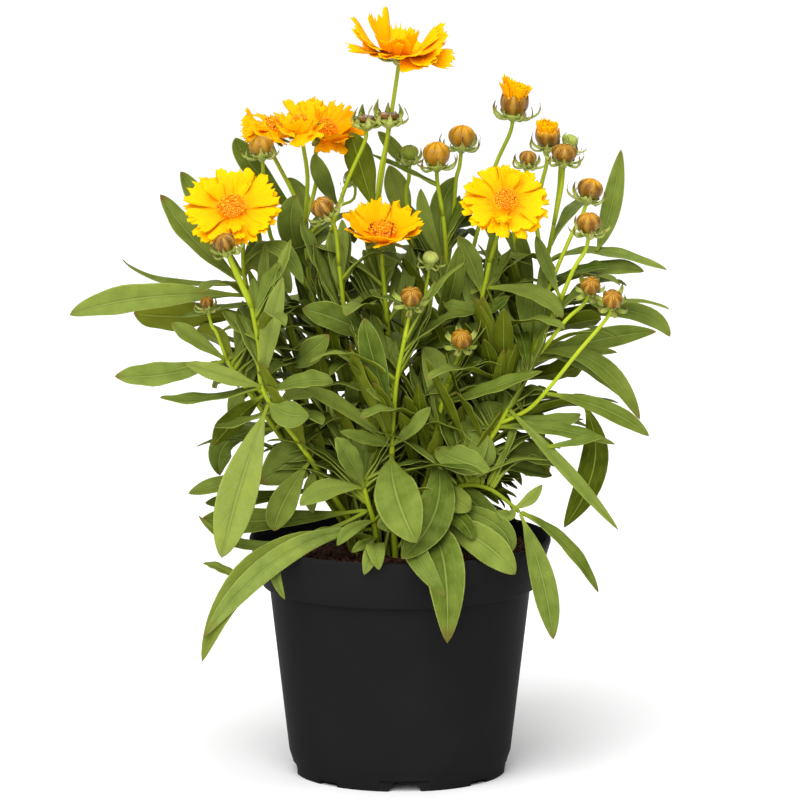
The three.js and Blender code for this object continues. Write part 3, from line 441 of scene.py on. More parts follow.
# one way to make every skin: a grid wrapped into a closed form.
# spot(s, w) gives a point for s along from 0 to 1 and w around from 0 to 1, and skin(s, w) the
# place on the texture. Where the ends or the seam come together the grid is closed by merging.
mergeWithin = 0.004


def wrap(bm, rows, columns, spot, skin=None, slot=0, tint=None, rowAt=None):
    uv = bm.loops.layers.uv.verify()
    tintLayer = bm.verts.layers.float_color.get("tint") or bm.verts.layers.float_color.new("tint")
    made = bmesh.ops.create_grid(bm, x_segments=rows, y_segments=columns, size=0.5)["verts"]
    faces = {face for vert in made for face in vert.link_faces}
    coordinate = {}
    for vert in made:
        s, w = vert.co.x + 0.5, vert.co.y + 0.5
        coordinate[vert] = (rowAt(s) if rowAt else s, w)
    for face in faces:
        middle = sum(coordinate[vert][1] for vert in face.verts) / len(face.verts)
        face.material_index = slot(middle) if callable(slot) else slot
        face.smooth = True
        for loop in face.loops:
            loop[uv].uv = skin(*coordinate[loop.vert]) if skin else coordinate[loop.vert]
    for vert in made:
        vert.co = spot(*coordinate[vert])
        if tint:
            vert[tintLayer] = tint
    bmesh.ops.remove_doubles(bm, verts=made, dist=mergeWithin)


# a blade is a closed thin sheet: it goes across the upper face and back under the lower one
def bladeColumns(stops):
    return 2 * len(stops) - 2, [*stops, *reversed(stops[:-1])]


# where w stands on a blade: across from -1 to 1, whether above, and whether on the edge
def bladeSide(w, blade):
    columns, across = blade
    index = round(w * columns)
    return across[index], index <= columns / 2, index in (0, columns / 2, columns)


# wraps a blade, with one finish above and one below
def wrapBlade(bm, rows, blade, spot, slots, tint, rowAt=None):
    def skin(s, w):
        return s, 0.5 + 0.5 * bladeSide(w, blade)[0]

    wrap(bm, rows, blade[0], spot, skin, lambda w: slots[0] if w < 0.5 else slots[1], tint, rowAt)


# a tube along points, round, with its ends drawn in and closed
def tube(bm, points, radii, sides, slot, tint, ribs):
    last = len(points) - 1
    side = Vector((1, 0, 0))
    frames = []
    for index, point in enumerate(points):
        tangent = (points[min(index + 1, last)] - points[max(index - 1, 0)]).normalized()
        side = (side - tangent * side.dot(tangent)).normalized()
        frames.append((point, side.copy(), tangent.cross(side)))
    rows = last + 2

    def spot(s, w):
        row = round(s * rows)
        point, across, over = frames[min(max(row - 1, 0), last)]
        if row in (0, rows):
            return point
        angle = 2 * math.pi * w
        radius = mix(radii[0], radii[1], (row - 1) / max(last, 1)) * (1 + ribs * math.cos(4 * angle))
        return point + across * (radius * math.cos(angle)) + over * (radius * math.sin(angle))

    length = sum((b - a).length for a, b in zip(points, points[1:]))
    wrap(bm, rows, sides, spot, lambda s, w: (s * length / 20, w), slot, tint)


# a turned form about an axis: profile(s) gives radius and height, ripple(s, angle) moves it out
def turned(bm, base, axis, profile, rows, sides, slot, tint=(0, 0, 0, 1), ripple=None):
    turn = up.rotation_difference(axis)

    def spot(s, w):
        radius, high = profile(s)
        angle = 2 * math.pi * w
        if ripple and radius > 0:
            radius += ripple(s, angle)
        point = around(angle, radius, high)
        point.rotate(turn)
        return base + point

    wrap(bm, rows, sides, spot, None, slot, tint)


def profileThrough(points):
    spots = [Vector((radius, high)) for radius, high in points]
    return lambda s: tuple(alongLine(spots, s))


# brings a mesh to metres and makes it a piece on the pot's one body
def finishPiece(name, bm, materials, nodes):
    bmesh.ops.scale(bm, vec=(millimetre,) * 3, verts=bm.verts)
    bmesh.ops.recalc_face_normals(bm, faces=bm.faces)
    mesh = bpy.data.meshes.new(name)
    bm.to_mesh(mesh)
    bm.free()
    for material in materials:
        mesh.materials.append(material)
    piece = addObject(name, mesh)
    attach(piece, "root")
    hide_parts(*nodes)
    return piece


# leaves
leafShape = {
    "petioleHalf": 1.1, "rows": 22, "smallRows": 15, "thick": 0.55, "groove": 0.35, "rib": 0.55,
    "keel": 0.18,  # the edges stand this share of the half width above the rib
    "stops": (-1, -0.9, -0.5, -0.1, 0, 0.1, 0.5, 0.9, 1),
}
leafBlade = bladeColumns(leafShape["stops"])


# a leaf from its root through its middle to its tip; normal is the way that its face looks
def leaf(bm, root, mid, tip, width, normal, stalked, tint, wave, fold, small=False):
    control = 2 * mid - 0.5 * root - 0.5 * tip
    phase, beats = looks.uniform(0, 6.28), looks.uniform(1.6, 3.2)
    twist = looks.uniform(-0.35, 0.35)
    sway = looks.uniform(-0.02, 0.02) * (tip - root).length
    rows = leafShape["smallRows" if small else "rows"]

    def spot(t, w):
        v, upper, edge = bladeSide(w, leafBlade)
        point = root * (1 - t) ** 2 + control * (2 * t * (1 - t)) + tip * (t * t)
        if t <= 0 or t >= 1:
            return point
        tangent = ((control - root) * (1 - t) + (tip - control) * t).normalized()
        face = (normal - tangent * normal.dot(tangent)).normalized()
        side = face.cross(tangent)
        s = max((t - stalked) / (1 - stalked), 0)
        turn = twist * (s - 0.4) * s
        face, side = face + side * turn, side - face * turn
        spread = math.sin(math.pi * s ** 1.25) ** 0.68 if 0 < s < 1 else 0
        half = leafShape["petioleHalf"] * (1 - t ** 3) + (width / 2 - leafShape["petioleHalf"] / 2) * spread
        lift = leafShape["keel"] * half * abs(v) ** 1.2 * fold
        lift += wave * half * v * v * math.sin(6.28 * beats * s + phase + (1.9 if v > 0 else 0)) * 1.6
        centre = max(0, 1 - abs(v) / 0.12)
        if edge:
            over = 0
        elif upper:
            over = leafShape["thick"] / 2 - leafShape["groove"] * centre * min(1, spread * 2)
        else:
            over = -leafShape["thick"] / 2 - leafShape["rib"] * centre * (1 - s)
        over += (0.7 * (1 - smooth(0, 0.25, s))) * (1 if upper else -1) * (0 if edge else 1)
        bend = sway * math.sin(math.pi * t)
        return point + side * (half * v + bend) + face * (lift + over)

    wrapBlade(bm, rows, leafBlade, spot, (0, 1), tint, lambda share: share - 0.07 * math.sin(6.2832 * share))


# flower heads
headShape = {
    "petalInner": 3.5, "petalStart": 10.5, "petalRows": 12, "bracts": 8, "bractRows": 8, "halfThick": 0.28,
}
petalBlade = bladeColumns([index / 8 - 1 for index in range(17)])
bractBlade = bladeColumns((-1, -0.45, 0, 0.45, 1))


def halfThick(upper, edge):
    return 0 if edge else (headShape["halfThick"] if upper else -headShape["halfThick"])


# how far each column of a petal's end falls short: four pointed lobes, a little ragged
def petalTeeth(deep):
    valleys = [column + looks.choice((-1, 0, 0, 1)) for column in (4, 8, 12)]
    depths = [deep * looks.uniform(0.5, 1.25) for valley in valleys]
    teeth = []
    for column in range(17):
        short = max(depth * max(0, 1 - abs(column - valley) / 2) for valley, depth in zip(valleys, depths))
        short += deep * (looks.uniform(0.2, 0.5) if column % 2 else looks.uniform(-0.22, 0.12))
        margin = min(column, 16 - column)
        short += deep * (0.75, 0.3, 0.1)[margin] if margin < 3 else 0
        teeth.append(short + 0.3 * deep * abs(column - 8) / 8)
    return teeth


# a petal is a pleated wedge that ends in toothed lobes; it may turn its face to the front or roll up
def petal(bm, blade, tint, width, under):
    centre, axis, out = blade["centre"], blade["axis"], blade["out"]
    side = axis.cross(out)
    start = headShape["petalStart"]
    reach, rise = blade["reach"], blade["rise"]
    curl, wide = blade.get("curl", 0), blade["width"] * width
    span = max(math.hypot(reach - start, rise), 6)
    teeth = petalTeeth(min(4.6, 0.26 * span))
    tipCurl = looks.uniform(-2.8, 1.2)
    phase, waves, tall = looks.uniform(0, 6.28), looks.uniform(2.4, 4.6), looks.uniform(0.5, 1.5)
    imbricate = looks.uniform(0.05, 0.12)
    facing, arc = blade.get("shape", (0, 0))
    facing = math.radians(facing) * (-1 if side.y > 0 else 1)

    def spot(s, w):
        v, upper, edge = bladeSide(w, petalBlade)
        q = (mix(headShape["petalInner"], start + span, s) - start) / span
        q = q * (1 - teeth[round((v + 1) * 8)] / span * s ** 6) if q > 0 else q
        half = wide * (0.27 + 0.33 * smooth(-0.1, 0.72, q) - 0.04 * smooth(0.8, 1, q))
        if q > 0:
            radius = start + (reach - start) * q
            high = (rise - curl) * q + curl * q * q + tipCurl * q ** 3
        else:
            radius, high = start + span * q, -0.2 * -q
        turn = facing * smooth(0.0, 0.75, q)
        across = side * math.cos(turn) - axis * math.sin(turn)
        face = axis * math.cos(turn) + side * math.sin(turn)
        pleat = 0.2 * math.cos(9.425 * v) * smooth(0.15, 0.5, s) + imbricate * half * v
        trough = 0.05 * wide * (1 - v * v) * math.sin(math.pi * min(max(q, 0) * 0.8, 1))
        ripple = tall * math.sin(phase + waves * v + 2.5 * s) * s * s
        lift = pleat - trough + ripple + halfThick(upper, edge or s >= 1)
        run = v
        if arc:
            bend = arc * smooth(0.0, 0.5, q) + 0.001
            run = math.sin(bend * v) / bend
            lift += half * (1 - math.cos(bend * v)) / bend
        return centre + out * radius + axis * (high + under) + across * (half * run) + face * lift

    wrapBlade(bm, headShape["petalRows"], petalBlade, spot, (0, 1), tint, lambda share: share ** 0.85)


def petalRing(head, centre, axis):
    turn = up.rotation_difference(axis)
    begin = draw() * 6
    count, radius, start = head["petals"], head["radius"], headShape["petalStart"]
    width = 2 * math.pi * (start + 0.55 * (radius - start)) / count * 1.2
    blades = []
    for index in range(count):
        angle = begin + 2 * math.pi * (index + 0.18 * (draw() - 0.5)) / count
        run = radius * (0.95 + 0.12 * draw()) - start
        raised = math.radians(head["lift"] + (7 if index % 2 else -6) + 6 * (draw() - 0.5))
        out = around(angle)
        out.rotate(turn)
        blades.append({
            "centre": centre, "axis": axis, "out": out, "reach": start + run * math.cos(raised),
            "rise": run * math.sin(raised) + head["curl"], "width": width, "curl": head["curl"],
        })
    return blades


def petalRows(head, centre, axis):
    blades = []
    look = headLooks.get(head["name"], plainHead)
    shapes = look["shapes"]
    for index, (across, high, depth, width) in enumerate(head["petals"] + look.get("extra", [])):
        run = place((across, high, depth)) - centre
        rise = run.dot(axis)
        out = run - axis * rise
        blades.append({"centre": centre, "axis": axis, "out": out.normalized(), "reach": out.length,
                       "rise": rise, "width": width, "shape": shapes.get(index, (0, 0))})
    return blades


# one narrow bract that leaves the cup, runs out and curls up; places are (radius, height)
def bract(bm, centre, axis, angle, begin, bend, end, width, tint):
    turn = up.rotation_difference(axis)
    out = around(angle)
    out.rotate(turn)
    side = axis.cross(out)
    hook = looks.uniform(0.2, 1.0)

    def spot(s, w):
        v, upper, edge = bladeSide(w, bractBlade)
        radius, high = (a * (1 - s) ** 2 + b * 2 * s * (1 - s) + c * s * s
                        for a, b, c in zip(begin, bend, end))
        radius -= hook * 9 * max(0, s - 0.62) ** 1.3
        half = width * (0.45 + 0.55 * math.sin(math.pi * min(s + 0.12, 1))) / 2
        half *= 1 - smooth(0.8, 1, s) * 0.72
        thin = halfThick(upper, edge or s >= 1)
        if s <= 0:
            half *= 0.8
        return centre + out * radius + axis * (high + thin + 0.25 * abs(v) * width) + side * (half * v)

    wrapBlade(bm, headShape["bractRows"], bractBlade, spot, (2, 2), tint)


# a ring of bracts, each a little different
def bractRing(bm, centre, axis, begin, bend, end, width, browned, count=headShape["bracts"], front=1.0):
    first = looks.uniform(0, 1)
    for index in range(count):
        angle = 2 * math.pi * (index + first + looks.uniform(-0.16, 0.16)) / count
        vary = looks.uniform(0.85, 1.18)
        lift = looks.uniform(-1.4, 1.6)
        tint = (looks.uniform(0.2, 0.9), looks.uniform(0.35, 0.75), browned * looks.uniform(0.5, 1.2), 1)
        tall = end[1] * (front if math.sin(angle) < -0.6 else 1) + lift
        bract(bm, centre, axis, angle, begin, (bend[0] * vary, bend[1] + lift * 0.4),
              (end[0] * vary, tall), width * looks.uniform(0.85, 1.15), tint)


# the disc: a dome of small tubes, in the spiral that such a disc grows in
discShape = {"florets": 190, "domeHigh": 4.4, "tall": 2.5, "wide": 0.42}

# how a bloom looks: how orange its petals are, how many of its outer florets are dark, how wide its
# petals are, how many short petals stand inside, how far single petals turn and roll, and the short
# extra ones in front as across, up, depth and width
plainHead = {"warm": 0.1, "dark": 0.1, "wide": 1.4, "inner": 3, "shapes": {}}
headLooks = {
    "left": {"warm": 0.0, "dark": 0.04, "wide": 1.5, "inner": 3, "shapes": {}},
    "right": {"warm": 0.05, "dark": 0.03, "wide": 1.55, "inner": 5, "shapes": {}},
    "middle": {"warm": 0.35, "dark": 0.35, "wide": 1.3, "inner": 0, "shapes": {}},
    "top": {
        "warm": 0.25, "dark": 0.08, "wide": 1.3, "inner": 0,
        "shapes": {0: (28, 0.4), 1: (14, 0.3), 2: (20, 0.4), 4: (25, 0.4), 5: (30, 0.4), 6: (30, 0.3),
                   7: (15, 0), 8: (0, -1.7), 9: (10, 0.5), 10: (20, 0.4), 11: (25, 0.3), 12: (25, 0.4),
                   13: (25, 0.5), 14: (20, 0.2), 15: (20, 0.6), 16: (0, 0.5), 17: (10, 0.5)},
        "extra": [(-8, 459, 2, 15), (7, 463, 0, 9), (-26, 461, 4, 18), (27, 455, 4, 16), (22, 444, -6, 15),
                  (26, 467, 26, 8), (-20, 450, -2, 15), (-6, 445, -12, 12), (7, 446, -11, 12)],
    },
    "upper_left": {
        "warm": 0.7, "dark": 0.05, "wide": 1.4, "inner": 3, "shapes": {1: (25, 0.3), 2: (30, 0.3)},
        "extra": [(-88, 401, 24, 11), (-68, 405, 34, 11)],
    },
    "upper_front": {
        "warm": 0.6, "dark": 0.05, "wide": 1.4, "inner": 4, "shapes": {1: (30, 0.3), 2: (30, 0.3)},
        "extra": [(-64, 409, -9, 12), (-50, 411, -4, 10)],
    },
    "upper_right": {
        "warm": 0.75, "dark": 0.05, "wide": 1.35, "inner": 3, "shapes": {2: (30, 0.3), 3: (25, 0.3)},
        "extra": [(-38, 403, 29, 13), (-30, 399, 34, 10)],
    },
}


def discPiece(name, centre, axis, radius):
    bm = bmesh.new()
    count = round(discShape["florets"] * (radius / 8) ** 1.5)
    turned(bm, centre, axis, profileThrough([(0, 1.0), (radius * 0.94, 1.0), (radius * 0.9, 1.9),
                                             (radius * 0.5, 3.4), (0, 3.9)]), 8, 24, 0, (0.3, 0.3, 0, 1))
    turn = up.rotation_difference(axis)
    tintLayer = bm.verts.layers.float_color.get("tint")
    for index in range(count):
        share = (index + 0.5) / count
        angle = math.radians(137.508) * index
        reach = radius * math.sqrt(share) * 0.97
        high = 1.5 + (discShape["domeHigh"] - 1.8) * (1 - share) ** 0.8
        lean = Vector((math.cos(angle) * 0.55 * share, math.sin(angle) * 0.55 * share, 1)).normalized()
        tall = discShape["tall"] * looks.uniform(0.7, 1.35)
        made = bmesh.ops.create_cone(bm, cap_ends=True, segments=5, radius1=discShape["wide"] * 0.7,
                                     radius2=discShape["wide"] * looks.uniform(0.8, 1.3), depth=tall)["verts"]
        spin = up.rotation_difference(lean)
        dark = share > 0.5 and looks.random() < headLooks.get(name, plainHead)["dark"]
        shade = (looks.uniform(0, 0.1) if dark else looks.uniform(0.2, 1), share, 0, 1)
        for vert in made:
            vert.co.z += tall / 2 - 0.3
            vert.co.rotate(spin)
            vert.co += around(angle, reach, high)
            vert.co.rotate(turn)
            vert.co += centre
            vert[tintLayer] = shade
    return finishPiece("florets_" + name, bm, [finishes["floret"]], ["disc_" + name])


# a bloom: its cup goes to the shoot's mesh, its petals and florets are pieces of their own
def bloomHead(bm, head):
    centre, axis = place(head["at"]), heading(head["facing"])
    blades = (petalRing if isinstance(head["petals"], int) else petalRows)(head, centre, axis)
    corolla = bmesh.new()
    look = headLooks.get(head["name"], plainHead)
    for index, blade in enumerate(blades):
        petal(corolla, blade, (looks.random(), look["warm"], 0, 1), look["wide"], 0.5 * (index % 3) - 0.6)
    for index, blade in enumerate(innerPetals(blades, look["inner"])):
        petal(corolla, blade, (looks.random(), look["warm"] + 0.15, 0.4, 1), 1.2, 0.7 + 0.3 * (index % 2))
    turned(corolla, centre, axis, profileThrough([(0, -1.1), (7.5, -0.6), (7.5, 0.9), (0, 1.2)]), 6, 20, 0)
    finishPiece("corolla_" + head["name"], corolla, [finishes["petal"], finishes["petalBack"]],
                ["petals_" + head["name"]])
    discPiece(head["name"], centre, axis, head["disc"])
    turned(bm, centre, axis, profileThrough([(0, -8.5), (2.2, -7.8), (4.8, -5.8), (6.3, -3.9), (6.8, -2.4),
                                             (5.4, -1.8), (0, -1.7)]), 12, 18, 2, (0.5, 0.5, 0, 1))
    bractRing(bm, centre, axis, (5.2, -4.9), (11.5, -6.2), (15.5, -3.2), 3.4, 0.7)
    bractRing(bm, centre, axis, (5.6, -3.2), (9.5, -3.1), (13, -2.6), 4.4, 0.3)
    return centre - axis * 7.2


# shorter petals that stand up between the outer ones and the disc
def innerPetals(blades, count):
    inner = []
    start = headShape["petalStart"]
    for index in range(count):
        blade = blades[(index * 5 + 2) % len(blades)]
        out = (blade["out"] + blades[(index * 5 + 3) % len(blades)]["out"] * 0.8).normalized()
        out = (out - blade["axis"] * out.dot(blade["axis"])).normalized()
        reach = start + max(blade["reach"] - start, 4) * looks.uniform(0.45, 0.75)
        inner.append({**blade, "out": out, "reach": reach, "width": blade["width"] * 0.7,
                      "rise": max(blade["rise"], 0) * 0.8 + looks.uniform(2.2, 5.0), "shape": (0, 0.8)})
    return inner


# a bud: broad glossy scales that overlap round folded petals, in a ring of narrow green bracts.
# openTopped is how orange the ends of its scales are, and greenLight how light a green bud is.
scaleShape = {"count": 7, "rows": 10, "spread": 1.6, "closed": 0.985, "open": 0.8}
scaleBlade = bladeColumns((-1, -0.8, -0.4, 0, 0.4, 0.8, 1))
openTopped = {
    "bud_yellow": 1.0, "bud_brown": 0.9, "bud_right_high": 1.0, "bud_right": 0.6, "bud_opening": 0.8,
}
greenLight = {"green": 1.0, "dark": 0.0, "young": 0.1, "turned_away": 0.6}
yellowish = ("bud_under_petals", "bud_yellow", "bud_brown")


def budHead(bm, head):
    centre, axis = place(head["at"]), heading(head["facing"])
    name, radius, squash = head["name"], head["radius"], head.get("squash", 0.86)
    low, top = -radius * squash, radius * squash
    green = head.get("green", False)
    opening = "crown" in head
    end = scaleShape["open" if opening else "closed"]
    turn = up.rotation_difference(axis)

    def outline(s):
        angle = math.pi * (1 - s)
        return radius * math.sin(angle) * (1 + 0.05 * math.sin(2 * angle)), radius * squash * math.cos(angle)

    def folds(s, angle):
        return radius * (0.06 * abs(math.cos(4 * (angle + 0.9 * s))) - 0.08) * math.sin(math.pi * s) ** 0.5

    ball = bm if green else bmesh.new()
    inside = (looks.random(), 1 if opening else 0, 0, 1)
    turned(ball, centre, axis, outline, 14, 48, 4 if green else 1, inside, folds)
    first = looks.uniform(0, 1)
    for index in range(scaleShape["count"]):
        mid = 2 * math.pi * (index + first) / scaleShape["count"]
        layer = 0.035 if index % 2 else 0.005
        last = end + looks.uniform(-0.03, 0.03)

        def spot(s, w, mid=mid, layer=layer, last=last):
            v, upper, edge = bladeSide(w, scaleBlade)
            reach, high = outline(mix(0.06, last, s))
            if opening and high > 0:
                reach = mix(reach, radius, 0.75)
            half = math.pi / scaleShape["count"] * scaleShape["spread"] * max(1 - s ** 2.6, 0) ** 0.7
            thin = 0 if edge else (0.02 if upper else -0.05)
            swell = 0.975 + layer + 0.075 * (1 - abs(v) ** 1.5) + thin
            angle = mid + half * v
            point = around(angle, reach * swell, high * swell)
            point.rotate(turn)
            return centre + point

        light = greenLight.get(name, looks.random())
        yellow = 1 if name in yellowish else looks.uniform(0, 0.35)
        tint = (light, yellow, openTopped.get(name, 0.25), 1)
        wrapBlade(ball, scaleShape["rows"], scaleBlade, spot, (4, 4) if green else (0, 0), tint)
    if not green:
        finishPiece("scales_" + name, ball, [finishes["scale"], finishes["folded"]], [name])
    if opening:
        crownPiece(head, centre, axis, top)
    turned(bm, centre, axis, profileThrough([
        (0, low - 4.5), (1.7, low - 3.6), (radius * 0.36, low - 2.4), (radius * 0.6, low - 1),
        (radius * 0.7, low + radius * 0.16), (radius * 0.5, low + radius * 0.1), (0, low + 0.4),
    ]), 12, 16, 2, (0.7, 0.5, 0, 1))
    wide = (radius * 1.35 + 3) * head.get("spread", 1)
    small = radius < 5
    bractRing(bm, centre, axis, (radius * 0.4, low - 1.8), (wide * 1.08, low - 3.2),
              (wide * 1.04, low + radius * 0.9), 2.2 if small else 3.7, 0.2 if green else 0.9, 7)
    bractRing(bm, centre, axis, (radius * 0.5, low - 0.6), (radius * 1.0, low - 0.8),
              (radius * 1.06, low + radius * 0.35), 1.8 if small else 3.2, 0.1, 5)
    return centre + axis * (low - 3.2)


# the petals that push out of an opening bud, from inside its scales
crownShape = {"count": 13, "rows": 10, "rings": (0.75, 0.5, 1.0)}


def crownPiece(head, centre, axis, top):
    crown = bmesh.new()
    reach, high = head["crown"]
    turn = up.rotation_difference(axis)
    radius = head["radius"]
    for index in range(crownShape["count"]):
        angle = 2 * math.pi * (index * 0.618 % 1)
        ring = crownShape["rings"][index % 3]
        outward = reach * ring * looks.uniform(0.8, 1.08)
        tall = high * looks.uniform(0.6, 1.05) * (1.15 - 0.35 * ring)
        out = around(angle)
        tall *= 1 - 0.28 * out.x
        outward *= 1 - 0.2 * out.x
        out.rotate(turn)
        side = axis.cross(out)
        wide = reach * looks.uniform(0.7, 1.0)
        teeth = petalTeeth(min(2.6, 0.2 * tall + 0.8))
        phase = looks.uniform(0, 6.28)

        def spot(s, w, out=out, side=side, outward=outward, tall=tall, wide=wide, teeth=teeth, phase=phase):
            v, upper, edge = bladeSide(w, petalBlade)
            notch = teeth[round((v + 1) * 8)] * s ** 5
            hugs = radius * (0.5 + 0.5 * min(1, outward / reach))
            away = hugs * (1 - s) * (0.62 + 1.38 * s) + outward * s * s - 0.14 * wide * v * v
            half = wide * (0.22 + 0.3 * s)
            thin = 0 if edge or s >= 1 else (-0.25 if upper else 0.25)
            away += thin + 0.6 * s * math.sin(phase + 3 * v) + 0.3 * math.cos(9.4 * v) * s
            return (centre + out * away + side * (half * v)
                    + axis * (mix(-radius * 0.1, top + tall, s) - notch))

        wrapBlade(crown, crownShape["rows"], petalBlade, spot, (0, 1), (looks.random(), 0.5, 0.2, 1))
    finishPiece(head["name"].replace("bud", "crown"), crown, [finishes["petal"], finishes["petalBack"]],
                [head["name"].replace("bud", "petals")])


# a flat-topped head: brown scales in a deep cup of upright bracts
def cupHead(bm, head):
    centre, axis = place(head["at"]), heading(head["facing"])
    radius = head["radius"]
    plate = bmesh.new()
    turned(plate, centre, axis, profileThrough([
        (0, -1.2), (radius * 0.62, -0.6), (radius * 0.74, 0.4), (radius * 0.64, 1.6), (radius * 0.36, 2.2),
        (0, 2.0),
    ]), 10, 32, 0, (1, 0.0, 0, 1), lambda s, angle: 0.25 * math.cos(8 * angle))
    finishPiece("plate_" + head["name"], plate, [finishes["scale"]], [head["name"]])
    turned(bm, centre, axis, profileThrough([
        (0, -8), (1.8, -7.4), (radius * 0.45, -6), (radius * 0.78, -3.6), (radius * 0.93, -1.4),
        (radius * 0.8, -1.3), (0, -1.5),
    ]), 12, 18, 2, (0.6, 0.45, 0, 1))
    bractRing(bm, centre, axis, (radius * 0.5, -5), (radius * 1.6, -5), (radius * 1.2, 6.5),
              4.8, 0.4, 8, 0.35)
    bractRing(bm, centre, axis, (radius * 0.7, -3), (radius * 1.15, -2.5), (radius * 1.05, 1.2),
              5.4, 0.2, 6, 0.3)
    return centre - axis * 6.8


headKinds = {"bloom": bloomHead, "bud": budHead, "cup": cupHead}


